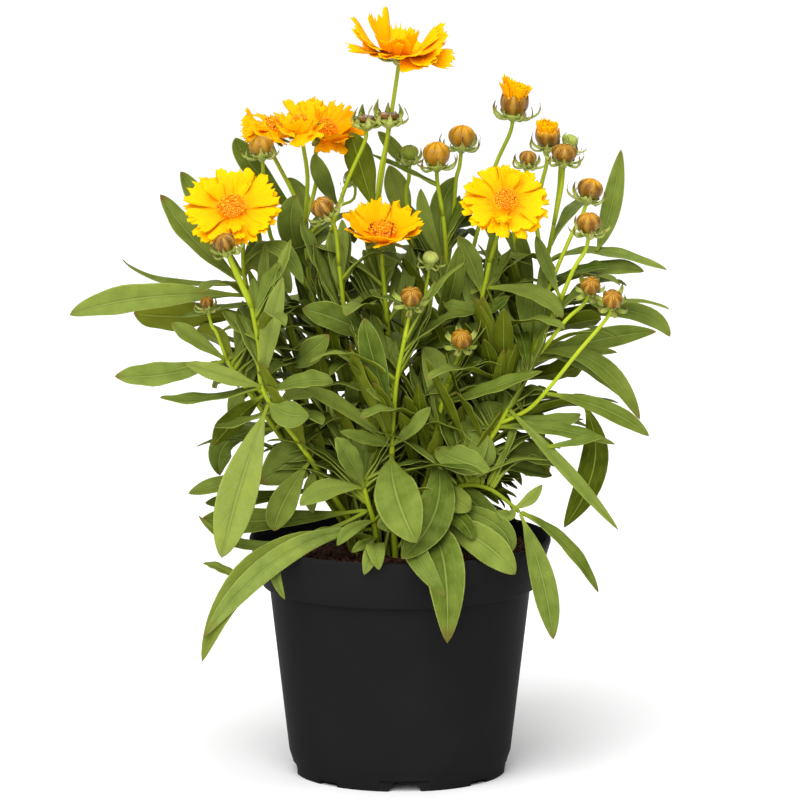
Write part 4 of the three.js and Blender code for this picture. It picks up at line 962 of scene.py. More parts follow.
# the plant, shoot by shoot
# base is where the stem stands in the soil; stem, stalk and at are places.
# leaves: root across, root up, middle place, tip place, width, lean from level; a lobe grows on a leaf
shoots = [
    {"name": "shoot_low_left", "base": [-14, -32], "fill": 1,
     "stem": [[-16, 156, -38], [-20, 170, -42], [-24, 186, -44]],
     "heads": [
     ],
     "leaves": [
         [-16, 150, [-71, 139, -64], [-121, 87, -78], 14, 70],
         [-16, 148, [-82, 135, -66], [-122, 72, -84], 17, 65],
         [-95, 120, [-109, 128, -66], [-122, 132, -62], 8, 20, "lobe"],
         [-20, 165, [-84, 141, -52], [-125, 162, -56], 8, 35],
         [-19, 165, [-91, 157, -30], [-123, 160, -34], 16, 60],
         [-75, 146, [-78, 128, -70], [-71, 110, -70], 6, 60, "lobe"],
         [-16, 147, [-42, 149, -50], [-63, 142, -56], 10, 50],
         [-17, 155, [-29, 153, -56], [-39, 143, -62], 8, 60],
         [-15, 144, [-22, 144, -60], [-30, 139, -66], 6, 60],
         [-14, 143, [-17, 141, -84], [-22, 126, -99], 10, 65],
         [-12, 144, [-14, 143, -86], [-13, 129, -100], 11, 65],
         [-22, 180, [-44, 178, -52], [-62, 168, -60], 14, 50],
         [-22, 178, [-30, 196, -52], [-40, 210, -58], 13, 65],
     ]},
    {"name": "shoot_low_right", "base": [10, -30], "fill": 1,
     "stem": [[14, 158, -36], [20, 168, -42], [38, 180, -50], [56, 178, -56], [74, 164, -60]],
     "heads": [
     ],
     "leaves": [
         [15, 148, [27, 140, -88], [29, 84, -106], 24, 75],
         [18, 160, [47, 147, -72], [71, 126, -82], 20, 72],
         [20, 165, [36, 160, -60], [45, 147, -66], 10, 70],
         [22, 168, [57, 157, -68], [68, 139, -76], 13, 70],
         [74, 163, [87, 126, -68], [95, 85, -70], 15, 70],
         [73, 165, [102, 146, -62], [123, 114, -62], 9, 40],
         [72, 167, [80, 172, -58], [88, 181, -58], 7, 60],
         [72, 165, [67, 162, -66], [60, 165, -68], 7, 60],
         [8, 149, [7, 142, -88], [28, 112, -104], 14, 75],
         [12, 152, [-3, 157, -58], [-14, 155, -66], 12, 65],
     ]},
    {"name": "shoot_left_front", "base": [-20, -14], "fill": 3,
     "stem": [[-36, 165, -26], [-58, 200, -38], [-84, 238, -50], [-87, 265, -50], [-92, 292, -50]],
     "heads": [
         {"kind": "bud", "name": "bud_left", "at": [-108, 330, -60], "facing": [-0.3, 0.85, 0.4],
          "radius": 6.5, "stalk": [[-92, 292, -50]]},
     ],
     "leaves": [
         [-86, 232, [-98, 183, -72], [-110, 136, -80], 24, 75],
         [-84, 240, [-107, 248, -62], [-132, 256, -70], 11, 62],
         [-92, 238, [-122, 234, -58], [-148, 235, -64], 14, 16],
         [-84, 241, [-80, 275, -62], [-72, 309, -66], 12, 75],
         [-81, 241, [-60, 245, -62], [-41, 244, -68], 13, 42],
         [-85, 228, [-71, 225, -58], [-56, 224, -62], 17, 70],
         [-88, 233, [-102, 222, -40], [-116, 205, -34], 15, -55],
         [-86, 226, [-100, 219, -48], [-115, 217, -46], 12, 15],
         [-52, 195, [-63, 198, -36], [-87, 181, -46], 28, 62],
         [-60, 195, [-72, 172, -48], [-78, 152, -54], 17, 70],
         [-86, 272, [-100, 279, -34], [-110, 288, -38], 9, 50],
     ]},
    {"name": "shoot_left_back", "base": [-27, 0], "fill": 4,
     "stem": [[-45, 170, -4], [-78, 215, -14], [-108, 258, -20]],
     "heads": [
         {"kind": "bud", "name": "bud_far_left", "at": [-120, 294, -20], "facing": [-0.1, 0.9, 0.35],
          "radius": 4, "stalk": [[-108, 258, -20], [-114, 275, -20]]},
     ],
     "leaves": [
         [-110, 258, [-147, 250, -30], [-177, 248, -38], 16, 55],
         [-108, 260, [-128, 271, -26], [-142, 281, -30], 11, 50],
         [-108, 261, [-97, 264, -10], [-86, 268, -2], 8, 30],
         [-58, 183, [-100, 182, -24], [-132, 175, -30], 13, 40],
         [-55, 178, [-95, 170, -12], [-122, 169, -14], 12, 45],
         [-78, 215, [-108, 208, -6], [-113, 186, -4], 16, 50],
         [-100, 245, [-110, 246, 10], [-118, 241, 20], 10, 50],
         [-95, 252, [-113, 270, 2], [-128, 276, 8], 20, -50],
     ]},
    {"name": "shoot_left_high", "base": [-16, 4], "fill": 4,
     "stem": [[-28, 180, 6], [-55, 235, 8], [-84, 280, 4], [-96, 305, -2], [-98, 330, -8]],
     "heads": [
         {"kind": "bloom", "name": "left", "at": [-104, 352, -22], "facing": [-0.05, 0.6, 0.8],
          "radius": 31, "petals": 12, "lift": 8, "curl": 1.5, "disc": 8.4, "stalk": [[-98, 330, -8]]},
     ],
     "leaves": [
         [-97, 299, [-157, 298, -20], [-205, 286, -34], 18, 62],
         [-96, 284, [-138, 285, 4], [-167, 288, 10], 24, -65],
         [-97, 306, [-147, 308, 4], [-173, 321, -6], 9, 18],
         [-97, 303, [-128, 334, 10], [-150, 362, 14], 15, 40],
         [-98, 330, [-122, 356, 26], [-138, 377, 34], 13, 55],
         [-95, 318, [-78, 328, -18], [-60, 305, -30], 12, 35],
         [-95, 315, [-85, 318, -2], [-68, 300, -6], 20, 60],
         [-95, 293, [-115, 290, -16], [-137, 285, -22], 8, 25],
         [-70, 252, [-58, 261, -30], [-44, 274, -36], 15, 70],
     ]},
    {"name": "shoot_up_left", "base": [-20, 18], "fill": 4,
     "stem": [[-32, 190, 26], [-46, 250, 34], [-56, 300, 40], [-60, 345, 40]],
     "heads": [
         {"kind": "bloom", "name": "upper_left", "at": [-79, 405, 46], "facing": [0.35, 0.75, 0.55],
          "disc": 6.5, "stalk": [[-60, 345, 40], [-68, 365, 44]],
          "petals": [
              [-88, 415, 60, 15], [-99, 409, 38, 13], [-101, 400, 35, 9], [-91, 394, 27, 14],
              [-80, 396, 29, 12], [-73, 413, 63, 9],
          ]},
         {"kind": "bloom", "name": "upper_front", "at": [-62, 405, 6], "facing": [-0.1, 0.85, 0.5],
          "disc": 5.5, "stalk": [[-60, 345, 40], [-58, 372, 24]],
          "petals": [
              [-61, 425, 22, 15], [-71, 414, 20, 12], [-75, 402, -6, 14], [-57, 394, -12, 14],
              [-50, 402, -6, 11], [-54, 419, 18, 12],
          ]},
         {"kind": "bloom", "name": "upper_right", "at": [-48, 404, 50], "facing": [0.4, 0.7, 0.6],
          "disc": 7, "stalk": [[-60, 345, 40], [-53, 370, 46]],
          "petals": [
              [-46, 423, 66, 15], [-35, 420, 66, 11], [-27, 413, 62, 11], [-21, 395, 53, 15],
              [-41, 389, 33, 15], [-57, 416, 60, 11],
          ]},
         {"kind": "bud", "name": "bud_under_petals", "at": [-87, 392, 14], "facing": [-0.1, 0.95, 0.2],
          "radius": 7, "stalk": [[-56, 300, 40], [-79, 330, 32], [-86, 365, 22]]},
         {"kind": "cup", "name": "cup_upper_left", "at": [-21, 409, 22], "facing": [0, 0.95, 0.3],
          "radius": 8.2, "stalk": [[-54, 300, 40], [-45, 334, 32], [-34, 368, 26]]},
         {"kind": "bud", "name": "young", "at": [-31, 375, 56], "facing": [-0.4, 0.9, 0.1], "radius": 4.2,
          "green": True, "stalk": [[-58, 335, 40], [-42, 354, 52]]},
     ],
     "leaves": [
         [-63, 345, [-91, 378, 32], [-103, 398, 28], 14, 65],
         [-40, 355, [-48, 372, 34], [-54, 388, 32], 11, 70],
         [-60, 315, [-69, 340, 26], [-65, 362, 22], 17, 72],
         [-62, 320, [-53, 321, 34], [-43, 322, 30], 10, 35],
         [-44, 334, [-42, 318, 22], [-41, 301, 20], 14, 65],
         [-58, 346, [-62, 362, 56], [-71, 374, 60], 9, 30],
     ]},
    {"name": "shoot_mid_left", "base": [-7, -4], "fill": 3,
     "stem": [[-14, 180, -2], [-24, 225, 2], [-32, 258, 2], [-35, 290, -4], [-38, 318, -10]],
     "heads": [
         {"kind": "bud", "name": "bud_mid_left", "at": [-48, 353, -20], "facing": [-0.5, 0.7, 0.4],
          "radius": 7, "stalk": [[-38, 318, -10]]},
     ],
     "leaves": [
         [-31, 235, [-33, 248, -12], [-33, 262, -14], 11, 80],
         [-24, 222, [-30, 235, -16], [-25, 246, -20], 9, 70],
         [-35, 290, [-22, 296, 4], [-11, 303, 6], 9, 55],
         [-28, 240, [-52, 240, -12], [-74, 234, -16], 14, 40],
         [-20, 205, [-44, 212, -16], [-68, 214, -26], 15, 55],
     ]},
    {"name": "shoot_centre", "base": [-3, -24], "fill": 2,
     "stem": [[-5, 165, -30], [-5, 203, -38], [-4, 222, -42], [-2, 246, -46], [3, 272, -50]],
     "heads": [
         {"kind": "bud", "name": "bud_centre", "at": [7, 297, -54], "facing": [0.05, 0.65, 0.75],
          "radius": 6.4, "stalk": [[3, 272, -50]]},
     ],
     "leaves": [
         [-1, 202, [-3, 176, -88], [10, 146, -112], 28, 78],
         [-12, 226, [-15.5, 257, -52], [-22, 284, -54], 15, 78],
         [-5, 228, [-6, 250, -34], [-3, 270, -30], 11, 70],
         [-5, 203, [-20, 209, -50], [-37, 214, -58], 8, 60],
         [-2, 205, [8, 217, -50], [19, 229, -56], 9, 60],
         [-4, 230, [-12, 236, -52], [-21, 240, -56], 7, 60],
         [-6, 205, [-36, 228, -40], [-62, 241, -50], 10, 50],
     ]},
    {"name": "shoot_mid_high", "base": [2, 8], "fill": 4,
     "stem": [[-2, 190, 10], [-5, 235, 8], [-7, 268, 4], [-9, 295, 0], [-11, 318, -5]],
     "heads": [
         {"kind": "bloom", "name": "middle", "at": [-11, 337, -14], "facing": [0.02, 0.82, 0.57],
          "radius": 29, "petals": 10, "lift": 44, "curl": -1, "disc": 8.4, "stalk": [[-11, 318, -5]]},
         {"kind": "bloom", "name": "top", "at": [0, 450, 20], "facing": [0.12, 0.97, 0.2], "disc": 7,
          "stalk": [[-5, 235, 8], [-16, 300, 16], [-16, 330, 20], [-13, 362, 22], [-5, 415, 22]],
          "petals": [
              [-30, 465, 8, 18], [-33, 452, -4, 12], [-15, 478, 30, 15], [-1, 471, 44, 8],
              [15, 463, 42, 14], [30, 462, 24, 14], [35, 446, 10, 13], [15, 439, -8, 17], [1, 463, -2, 15],
          ]},
         {"kind": "cup", "name": "cup_upper_right", "at": [-7, 410, 4], "facing": [0.05, 0.95, 0.3],
          "radius": 8.6, "stalk": [[-15, 345, 20], [-13, 372, 10]]},
     ],
     "leaves": [
         [-8, 268, [-36, 281, -18], [-61, 290, -24], 18, 60],
         [-15, 350, [-25, 380, 34], [-31, 402, 42], 18, -70],
         [-7, 262, [31, 272, -22], [60, 276, -24], 15, 50], [-6, 262, [18, 276, -8], [36, 290, -4], 9, 55],
     ]},
    {"name": "shoot_right_centre", "base": [9, -14], "fill": 2,
     "stem": [[15, 172, -22], [20, 200, -30], [24, 222, -36], [30, 245, -42]],
     "heads": [
         {"kind": "bud", "name": "bud_right_centre", "at": [38, 271, -54], "facing": [0.05, 0.6, 0.8],
          "radius": 6.2, "stalk": [[30, 245, -42]]},
     ],
     "leaves": [
         [25, 212, [24, 244, -30], [14, 266, -28], 18, 65],
         [22, 212, [31, 232, -22], [32, 258, -20], 11, 70],
         [24, 205, [21, 168, -56], [1, 136, -76], 23, 75],
         [16, 203, [34, 197, -54], [56, 190, -60], 18, 62],
         [20, 190, [48, 168, -56], [59, 147, -64], 15, 70],
         [24, 210, [46, 207, -40], [56, 192, -44], 16, 65],
         [24, 216, [48, 222, -34], [66, 230, -36], 17, 60],
         [20, 185, [33, 174, -60], [44, 166, -66], 15, 70],
         [27, 232, [55, 241, -50], [88, 251, -56], 12, 35],
     ]},
    {"name": "shoot_right_bloom", "base": [14, 2], "fill": 4,
     "stem": [[24, 185, 4], [34, 215, 2], [40, 238, -4], [45, 262, -8], [50, 290, -12], [56, 320, -18]],
     "heads": [
         {"kind": "bloom", "name": "right", "at": [65, 356, -34], "facing": [0.05, 0.55, 0.83],
          "radius": 27, "petals": 10, "lift": 8, "curl": 0, "disc": 7, "stalk": [[56, 320, -18]]},
     ],
     "leaves": [
         [54, 302, [84, 299, -24], [101, 284, -30], 12, 45],
         [50, 290, [58, 291, -20], [68, 298, -24], 9, 45],
         [49, 286, [38, 291, -16], [27, 293, -12], 9, 45], [47, 280, [44, 302, 4], [40, 322, 10], 13, 60],
         [52, 300, [46, 318, 6], [36, 336, 12], 12, 65], [41, 240, [56, 248, 6], [64, 262, 10], 12, 60],
     ]},
    {"name": "shoot_right", "base": [23, -4], "fill": 4,
     "stem": [[38, 180, -8], [54, 212, -14], [65, 232, -18], [72, 247, -20], [82, 262, -20], [92, 280, -20],
             [100, 296, -22]],
     "heads": [
         {"kind": "bud", "name": "bud_right", "at": [117, 343, -28], "facing": [0, 0.9, 0.42],
          "radius": 7.2, "stalk": [[100, 296, -22], [108, 315, -25]]},
         {"kind": "bud", "name": "bud_right_low", "at": [118, 304, -42], "facing": [0.1, 0.6, 0.8],
          "radius": 5.8, "stalk": [[73, 248, -20], [88, 264, -32], [103, 283, -38]]},
         {"kind": "bud", "name": "bud_right_high", "at": [119, 365, 10], "facing": [0.25, 0.9, 0.2],
          "radius": 7.6, "stalk": [[82, 262, -20], [88, 288, -4], [95, 308, 0], [107, 336, 6]]},
     ],
     "leaves": [
         [82, 253, [119, 268, -8], [160, 276, -14], 14, 60],
         [82, 262, [122, 257, -30], [149, 221, -40], 12, 60],
         [82, 262, [118, 256, -2], [139, 235, 0], 11, 60],
         [71, 247, [63, 262, -26], [55, 273, -30], 8, 60],
         [74, 250, [71, 270, -14], [66, 288, -12], 11, 60],
         [67, 233, [78, 239, -34], [89, 238, -40], 8, 50],
     ]},
    {"name": "shoot_right_low", "base": [20, -18], "fill": 2,
     "stem": [[34, 178, -28], [50, 200, -36], [60, 215, -40], [67, 228, -44]],
     "heads": [
         {"kind": "bud", "name": "bud_far_right", "at": [131, 295.5, -58], "facing": [0.05, 0.62, 0.78],
          "radius": 6, "stalk": [[62, 218, -41], [80, 228, -48], [94, 243, -52], [110, 263, -54]]},
     ],
     "leaves": [
         [67, 228, [100, 194, -60], [135, 153, -68], 8, 55],
         [60, 218, [95, 216, -50], [133, 206, -54], 11, 40],
         [92, 205, [112, 208, -62], [125, 211, -64], 7, 40, "lobe"],
         [62, 217, [95, 229, -36], [118, 230, -34], 12, -40],
         [66, 224, [95, 219, -44], [112, 225, -44], 10, 50],
         [52, 200, [80, 200, -30], [102, 192, -28], 15, 50],
         [50, 195, [75, 191, -26], [95, 186, -22], 11, 40],
         [90, 240, [126, 229, -54], [154, 211, -60], 11, 62],
         [114, 240, [120, 196, -46], [102, 154, -42], 18, -60, "lobe"],
     ]},
    {"name": "shoot_right_back", "base": [24, 12], "fill": 4,
     "stem": [[48, 205, 22], [70, 255, 30], [84, 290, 32], [92, 320, 32], [97, 345, 28]],
     "heads": [
         {"kind": "bud", "name": "bud_upper_right", "at": [103, 388, 22], "facing": [0.05, 0.9, 0.4],
          "radius": 7.6, "squash": 0.7, "stalk": [[97, 345, 28], [101, 365, 24]]},
         {"kind": "bud", "name": "bud_opening", "at": [93, 399, 44], "facing": [0, 0.95, 0.3],
          "radius": 7.4, "squash": 0.9, "crown": [7, 5],
          "stalk": [[90, 315, 32], [86, 345, 38], [89, 368, 42]]},
         {"kind": "bud", "name": "turned_away", "at": [108, 397, 58], "facing": [0.5, 0.8, -0.3],
          "radius": 4.4, "green": True, "spread": 1.3, "stalk": [[95, 335, 32], [100, 365, 50]]},
         {"kind": "bud", "name": "bud_behind_bloom", "at": [80, 384.5, 12], "facing": [0.1, 0.9, 0.3],
          "radius": 5.2, "stalk": [[84, 290, 32], [75, 318, 22], [71, 345, 16], [74, 366, 14]]},
     ],
     "leaves": [
         [88, 318, [122, 326.5, 22], [167, 315, 8], 12, 18],
         [88, 305, [126, 314.5, 18], [153, 314, 14], 11, 45],
         [88, 308, [113, 315, 10], [131, 317, 4], 12, 25],
         [123, 326, [131, 350, 28], [139, 391, 34], 12, 68, "lobe"],
         [84, 285, [140, 288, 6], [169, 273, -2], 12, 60], [86, 292, [138, 295, 0], [168, 290, -10], 6, 8],
         [84, 280, [108, 297, 14], [128, 288, 12], 10, 30],
         [80, 272, [108, 282, 20], [126, 284, 22], 18, -45],
         [70, 245, [98, 250, 10], [115, 257, 6], 18, -50],
     ]},
    {"name": "shoot_up_right", "base": [9, 20], "fill": 4,
     "stem": [[13, 200, 26], [20, 260, 30], [28, 305, 28], [29, 325, 26], [27, 350, 22]],
     "heads": [
         {"kind": "bud", "name": "bud_yellow", "at": [23, 387, 18], "facing": [0, 0.95, 0.3], "radius": 8,
          "squash": 0.95, "stalk": [[27, 350, 22]]},
         {"kind": "bud", "name": "bud_brown", "at": [39, 399, 40], "facing": [0.05, 0.95, 0.25],
          "radius": 8, "stalk": [[28, 305, 28], [33, 340, 36], [35, 370, 39]]},
         {"kind": "bud", "name": "bud_half_open", "at": [72, 419.5, 46], "facing": [0.1, 0.97, 0.2],
          "radius": 8.4, "squash": 0.9, "spread": 1.1, "crown": [12, 9.5],
          "stalk": [[24, 280, 30], [40, 308, 44], [49, 340, 48], [59, 378, 48]]},
         {"kind": "bud", "name": "green", "at": [19, 322, -6], "facing": [0.1, 0.85, 0.5], "radius": 4.6,
          "green": True, "stalk": [[20, 264, 28], [16, 285, 8], [16, 300, 0]]},
         {"kind": "bud", "name": "dark", "at": [6, 389, 42], "facing": [0, 0.9, 0.3], "radius": 5.5,
          "green": True, "stalk": [[20, 265, 30], [10, 320, 42], [4, 360, 44]]},
     ],
     "leaves": [
         [5, 335, [31, 343, 44], [53, 349, 46], 13, 25], [30, 322, [26, 350, 42], [36, 374, 46], 15, 65],
         [25, 370, [4, 377, 26], [-19, 388, 30], 6, 15], [5, 378, [-3, 390, 50], [-14, 403, 54], 9, 60],
         [6, 340, [0, 362, 56], [-7, 382, 60], 15, 60], [22, 270, [33, 300, 8], [37, 330, 4], 12, 65],
     ]},
    {"name": "shoot_back_left", "base": [-26, 32], "fill": 9,
     "stem": [[-44, 190, 52], [-64, 240, 72], [-78, 285, 86]],
     "heads": [
     ],
     "leaves": [
     ]},
    {"name": "shoot_back", "base": [-2, 38], "fill": 9,
     "stem": [[-4, 190, 58], [-2, 245, 78], [4, 300, 92]],
     "heads": [
     ],
     "leaves": [
     ]},
    {"name": "shoot_back_right", "base": [22, 32], "fill": 9,
     "stem": [[42, 185, 50], [62, 235, 68], [80, 280, 82]],
     "heads": [
     ],
     "leaves": [
     ]},
]


# the shoots
# the way a leaf faces when it leans from level towards the front by this many degrees
def leaning(lean):
    return Vector((0, -math.sin(math.radians(lean)), math.cos(math.radians(lean))))


shootShape = {
    "soilHigh": 140, "bury": 22, "rise": 4, "stem": (2.0, 1.25), "stalk": (1.35, 1.15), "sides": 10,
    "depthShifts": (0, -6, 6, -12, 12, -18, 18, -26, 26, -34, 34),
    "turnShifts": (0, 16, -16, 32, -32, 48, -48), "liftShifts": (0, 14, -14),
    "longReach": 96, "shortReach": 46, "golden": 137.5,
}
stationsLong = (0, 0.3, 0.6, 0.85)
stationsMiddle = (0.12, 0.48, 0.8)
stationsShort = (0.2, 0.62)


def midribLine(root, mid, tip, stalked, stations):
    control = 2 * mid - 0.5 * root - 0.5 * tip
    line = [root]
    for station in stations:
        t = stalked + (1 - stalked) * station
        line.append(root * (1 - t) ** 2 + control * (2 * t * (1 - t)) + tip * (t * t))
    return line + [tip]


def tipTree(name):
    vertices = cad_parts[name].data.vertices
    tree = KDTree(len(vertices))
    for index, vertex in enumerate(vertices):
        tree.insert(vertex.co / millimetre, index)
    tree.balance()
    return tree


# whether the solid has a corner at this point, as it has at the tip of each leaf that was laid
def laid(tree, tip):
    return tree.find(tip)[2] < 0.3


# tints of single leaves by their tips: light, yellow, brown, then how much the blade folds. The light value
# is partly painted light and shade: a leaf that lies in shade gets a low one, a lit leaf a high one.
leafNotes = {
    (-205, 286): (0.8, 0.15, 0.2, 1.5), (-167, 288): (0.6, 0.3, 0.6, 1.2), (-132, 256): (0.95, 0.3, 0.2, 1),
    (-72, 309): (0.95, 0.25, 0.3, 1), (-110, 136): (1.0, 0.25, 0.2, 1.2), (-121, 87): (0.9, 0.0, 0.4, 1),
    (-122, 72): (0.35, 0.3, 0.1, 1), (-150, 362): (0.5, 0.1, 1.0, 1.6), (14, 266): (0.8, 0.2, 0.2, 1.7),
    (36, 290): (0.9, 0.7, 0.6, 1), (28, 112): (0.62, 0.0, 0.3, 1), (44, 166): (0.45, 0.3, 0.2, 1),
    (102, 154): (0.15, 0.0, 0.1, 1), (139, 235): (0.75, 0.0, 0.2, 1), (131, 317): (0.15, 0.0, 0.2, 1),
    (53, 349): (0.15, 0.0, 0.2, 1), (-7, 382): (0.7, 0.5, 0.2, 1), (118, 230): (0.4, 0.0, 0.1, 1),
    (45, 147): (0.1, 0.0, 0.1, 1), (10, 146): (0.55, 0.1, 0.1, 1), (1, 136): (0.4, 0.0, 0.1, 1),
}
headSpots = []


def placeHeads(bm, shoot, plain, fine):
    for head in shoot["heads"]:
        axis = heading(head["facing"])
        bottom = headKinds[head["kind"]](bm, head)
        first, rest = head["stalk"][0], head["stalk"][1:]
        root = nearestDrawn(plain, first[0], first[1])
        spots = [root] + [place(spot) for spot in rest] + [bottom - axis * 9, bottom]
        plain.append(lineThrough(spots))
        spots[0] = snapTo(fine, root)
        spots[-2] = bottom - (axis + (bottom - spots[-3]).normalized()).normalized() * 9
        line = lineThrough(spots, lineRule["fine"])
        thin = 0.8 if head.get("radius", 9) < 5 else 1
        radii = [value * thin for value in shootShape["stalk"]]
        if head["name"] == "bud_left":
            radii = [1.9, 1.7]
        tint = (looks.uniform(0.4, 1.0), 0, 0, 1)
        tube(bm, [line[0] + (line[0] - line[1]) * 0.2] + line[1:], radii, shootShape["sides"], 3, tint, 0.04)
        fine.append(line)
        reach = max(head.get("radius", 26), 20 if head["kind"] == "bloom" else 9)
        headSpots.append((place(head["at"]), axis, reach, head["kind"]))


def tableLeaves(bm, shoot, plain, fine, tree):
    ribs = list(plain)
    for row in shoot["leaves"]:
        across, high, mid, tip, width, lean = row[:6]
        lobe = len(row) > 6
        root = nearestDrawn(ribs if lobe else plain, across, high)
        normal = leaning(lean)
        for shift in shootShape["depthShifts"]:
            end = place((tip[0], tip[1], tip[2] + shift))
            if laid(tree, end):
                break
        else:
            print("  leaf left out:", shoot["name"], tip)
            continue
        middle = place((mid[0], mid[1], mid[2] + shift * 0.6))
        reach = (end - root).length
        stations = stationsShort
        if reach > shootShape["longReach"]:
            stations = stationsLong
        elif reach > shootShape["shortReach"]:
            stations = stationsMiddle
        ribs.append(midribLine(root, middle, end, 0.1, stations))
        note = leafNotes.get((tip[0], tip[1]))
        light, yellow, brown, fold = note or (looks.uniform(0.25, 0.85), looks.uniform(0, 0.18),
                                              looks.uniform(0, 0.6), looks.uniform(0.7, 1.8))
        start = root if lobe else snapTo(fine, root)
        leaf(bm, start, middle, end, width, normal, 0.1, (light, yellow, brown, 1), 0.07, fold)


def fillLeaves(bm, shoot, plain, fine, tree):
    stem = plain[0]
    tries = [(lift, turn) for lift in shootShape["liftShifts"] for turn in shootShape["turnShifts"]]
    for index in range(shoot["fill"]):
        share = 0.3 + 0.66 * (index + 0.5 * draw()) / shoot["fill"]
        turn = shootShape["golden"] * index + 60 * draw()
        length = 78 - 26 * share + 18 * draw()
        width = 10 + 7 * draw()
        root = alongLine(stem, share)
        outward = Vector((root.x, root.y, 0)).normalized() * 0.75
        for liftShift, turnShift in tries:
            way = (around(math.radians(turn + turnShift)) + outward).normalized()
            rise = length * (0.12 + 0.35 * share) + liftShift
            tip = root + way * (length * 0.92) + up * (rise * 0.6 + liftShift)
            if laid(tree, tip):
                break
        else:
            continue
        mid = root + way * (length * 0.5) + up * (rise * 0.7)
        tint = (looks.uniform(0.2, 0.75), looks.uniform(0, 0.12), looks.uniform(0, 0.5), 1)
        fold = looks.uniform(0.7, 1.6)
        leaf(bm, snapTo(fine, root), mid, tip, width, up + way * 0.1, 0.12, tint, 0.07, fold)


# upright leaves in the gaps between the drawn ones: shoot, root, middle place, tip place, width, lean
gapLeaves = [
    ("shoot_mid_high", (-7, 282), (3, 305, 12), (6, 331, 14), 9, 70),
    ("shoot_mid_high", (-8, 290), (-3, 306, 16), (-4, 318, 20), 7, 60),
    ("shoot_up_right", (28, 318), (18, 342, 20), (13, 366, 22), 9, 70),
    ("shoot_mid_left", (-36, 300), (-37, 316, 10), (-32, 332, 14), 9, 70),
    ("shoot_left_high", (-96, 310), (-93, 324, 16), (-88, 340, 20), 9, 65),
    ("shoot_right", (82, 262), (110, 264, -22), (135, 263, -28), 7, 45),
    ("shoot_right", (100, 296), (92, 318, 0), (85, 336, 6), 8, 70),
    ("shoot_right_back", (84, 290), (78, 318, 18), (74, 342, 20), 9, 65),
    ("shoot_left_back", (-84, 235), (-82, 248, -6), (-76, 262, -8), 8, 60),
    ("shoot_left_back", (-90, 240), (-100, 236, -14), (-107, 224, -16), 10, 50),
    ("shoot_left_front", (-50, 190), (-56, 178, -40), (-54, 163, -44), 9, 60),
]


def fillGaps(bm, shoot, fine):
    for name, root, mid, tip, width, lean in gapLeaves:
        if name != shoot["name"]:
            continue
        start = snapTo(fine, nearestDrawn(fine[:1], *root))
        normal = leaning(lean)
        tint = (looks.uniform(0.2, 0.7), looks.uniform(0, 0.2), looks.uniform(0, 0.6), 1)
        leaf(bm, start, place(mid), place(tip), width, normal, 0.12, tint, 0.07, looks.uniform(0.7, 1.6))


# leaves that fill the bush, where the drawn ones leave it thin
bush = {"perStem": 33, "low": 0.0, "high": 0.97, "length": (42, 86), "width": (8, 18), "narrow": (6, 13)}


def clearOfHeads(points):
    for spot, axis, reach, kind in headSpots:
        for point in points:
            run = point - spot
            ahead = run.dot(axis)
            near = (run - axis * ahead).length
            if near < reach + 3 and -12 < ahead < (60 if kind == "bloom" else 30):
                return False
            if run.length < 13:
                return False
    return True


def bushLeaves(bm, shoot, fine):
    stem = fine[0]
    count = bush["perStem"] + (6 if shoot["fill"] > 5 else 0)
    made = 0
    for index in range(count * 3):
        if made >= count:
            break
        share = mix(bush["low"], bush["high"], ((index * 0.618) % 1) ** 0.8)
        root = alongLine(stem, share)
        angle = math.radians(shootShape["golden"] * index + looks.uniform(-30, 30))
        upright = index % 3 == 0 or (root.z > 215 and index % 2 == 0)
        outward = Vector((root.x, root.y, 0)).normalized() * 0.45
        way = (around(angle) + outward).normalized()
        length = looks.uniform(*bush["length"]) * (1 - 0.25 * share)
        rise = length * looks.uniform(0.2, 0.8) * (1 - 0.3 * share)
        mid = root + way * (length * 0.5) + up * (rise * 0.8)
        tip = root + way * (length * 0.95) + up * (rise * looks.uniform(0.4, 1.1) - 4)
        if upright:
            mid = root + way * (length * 0.3) + up * (length * 0.5)
            tip = root + way * (length * looks.uniform(0.4, 0.62)) + up * (length * looks.uniform(0.8, 1.0))
        tint = (looks.uniform(0.1, 0.8), looks.uniform(0, 0.15), looks.uniform(0, 0.6), 1)
        width, fold = looks.uniform(*bush["narrow" if upright else "width"]), looks.uniform(0.7, 1.8)
        if not inBush(mid) or not inBush(tip) or not clearOfHeads([mid, mid.lerp(tip, 0.5), tip]):
            continue
        leaf(bm, root, mid, tip, width, up + way * 0.1, 0.14, tint, 0.08, fold, True)
        made += 1


# leaves that rise from the soil round each stem on long bright petioles
basal = {"perStem": 5, "away": (3, 9), "length": (60, 120), "width": (9, 17), "stalked": 0.42}


def basalLeaves(bm, foot):
    made = 0
    for index in range(basal["perStem"] * 3):
        if made >= basal["perStem"]:
            break
        angle = math.radians(shootShape["golden"] * index + looks.uniform(-40, 40))
        out = around(angle)
        way = (out + Vector((foot.x, foot.y, 0)).normalized() * 0.4).normalized()
        root = Vector((foot.x, foot.y, shootShape["soilHigh"] - 3)) + out * looks.uniform(*basal["away"])
        length, lean = looks.uniform(*basal["length"]), looks.uniform(0.15, 0.6)
        tip = root + way * (length * lean) + up * (length * math.sqrt(1 - lean * lean))
        mid = root + way * (length * lean * 0.35) + up * (length * 0.52)
        tint = (looks.uniform(0.1, 0.65), looks.uniform(0, 0.15), looks.uniform(0, 0.4), 1)
        width, fold = looks.uniform(*basal["width"]), looks.uniform(0.7, 1.6)
        if math.hypot(root.x, root.y) > 78 or not inBush(mid.lerp(tip, 0.6)) or not clearOfHeads([mid, tip]):
            continue
        leaf(bm, root, mid, tip, width, up + way * 0.1, basal["stalked"], tint, 0.08, fold, True)
        made += 1


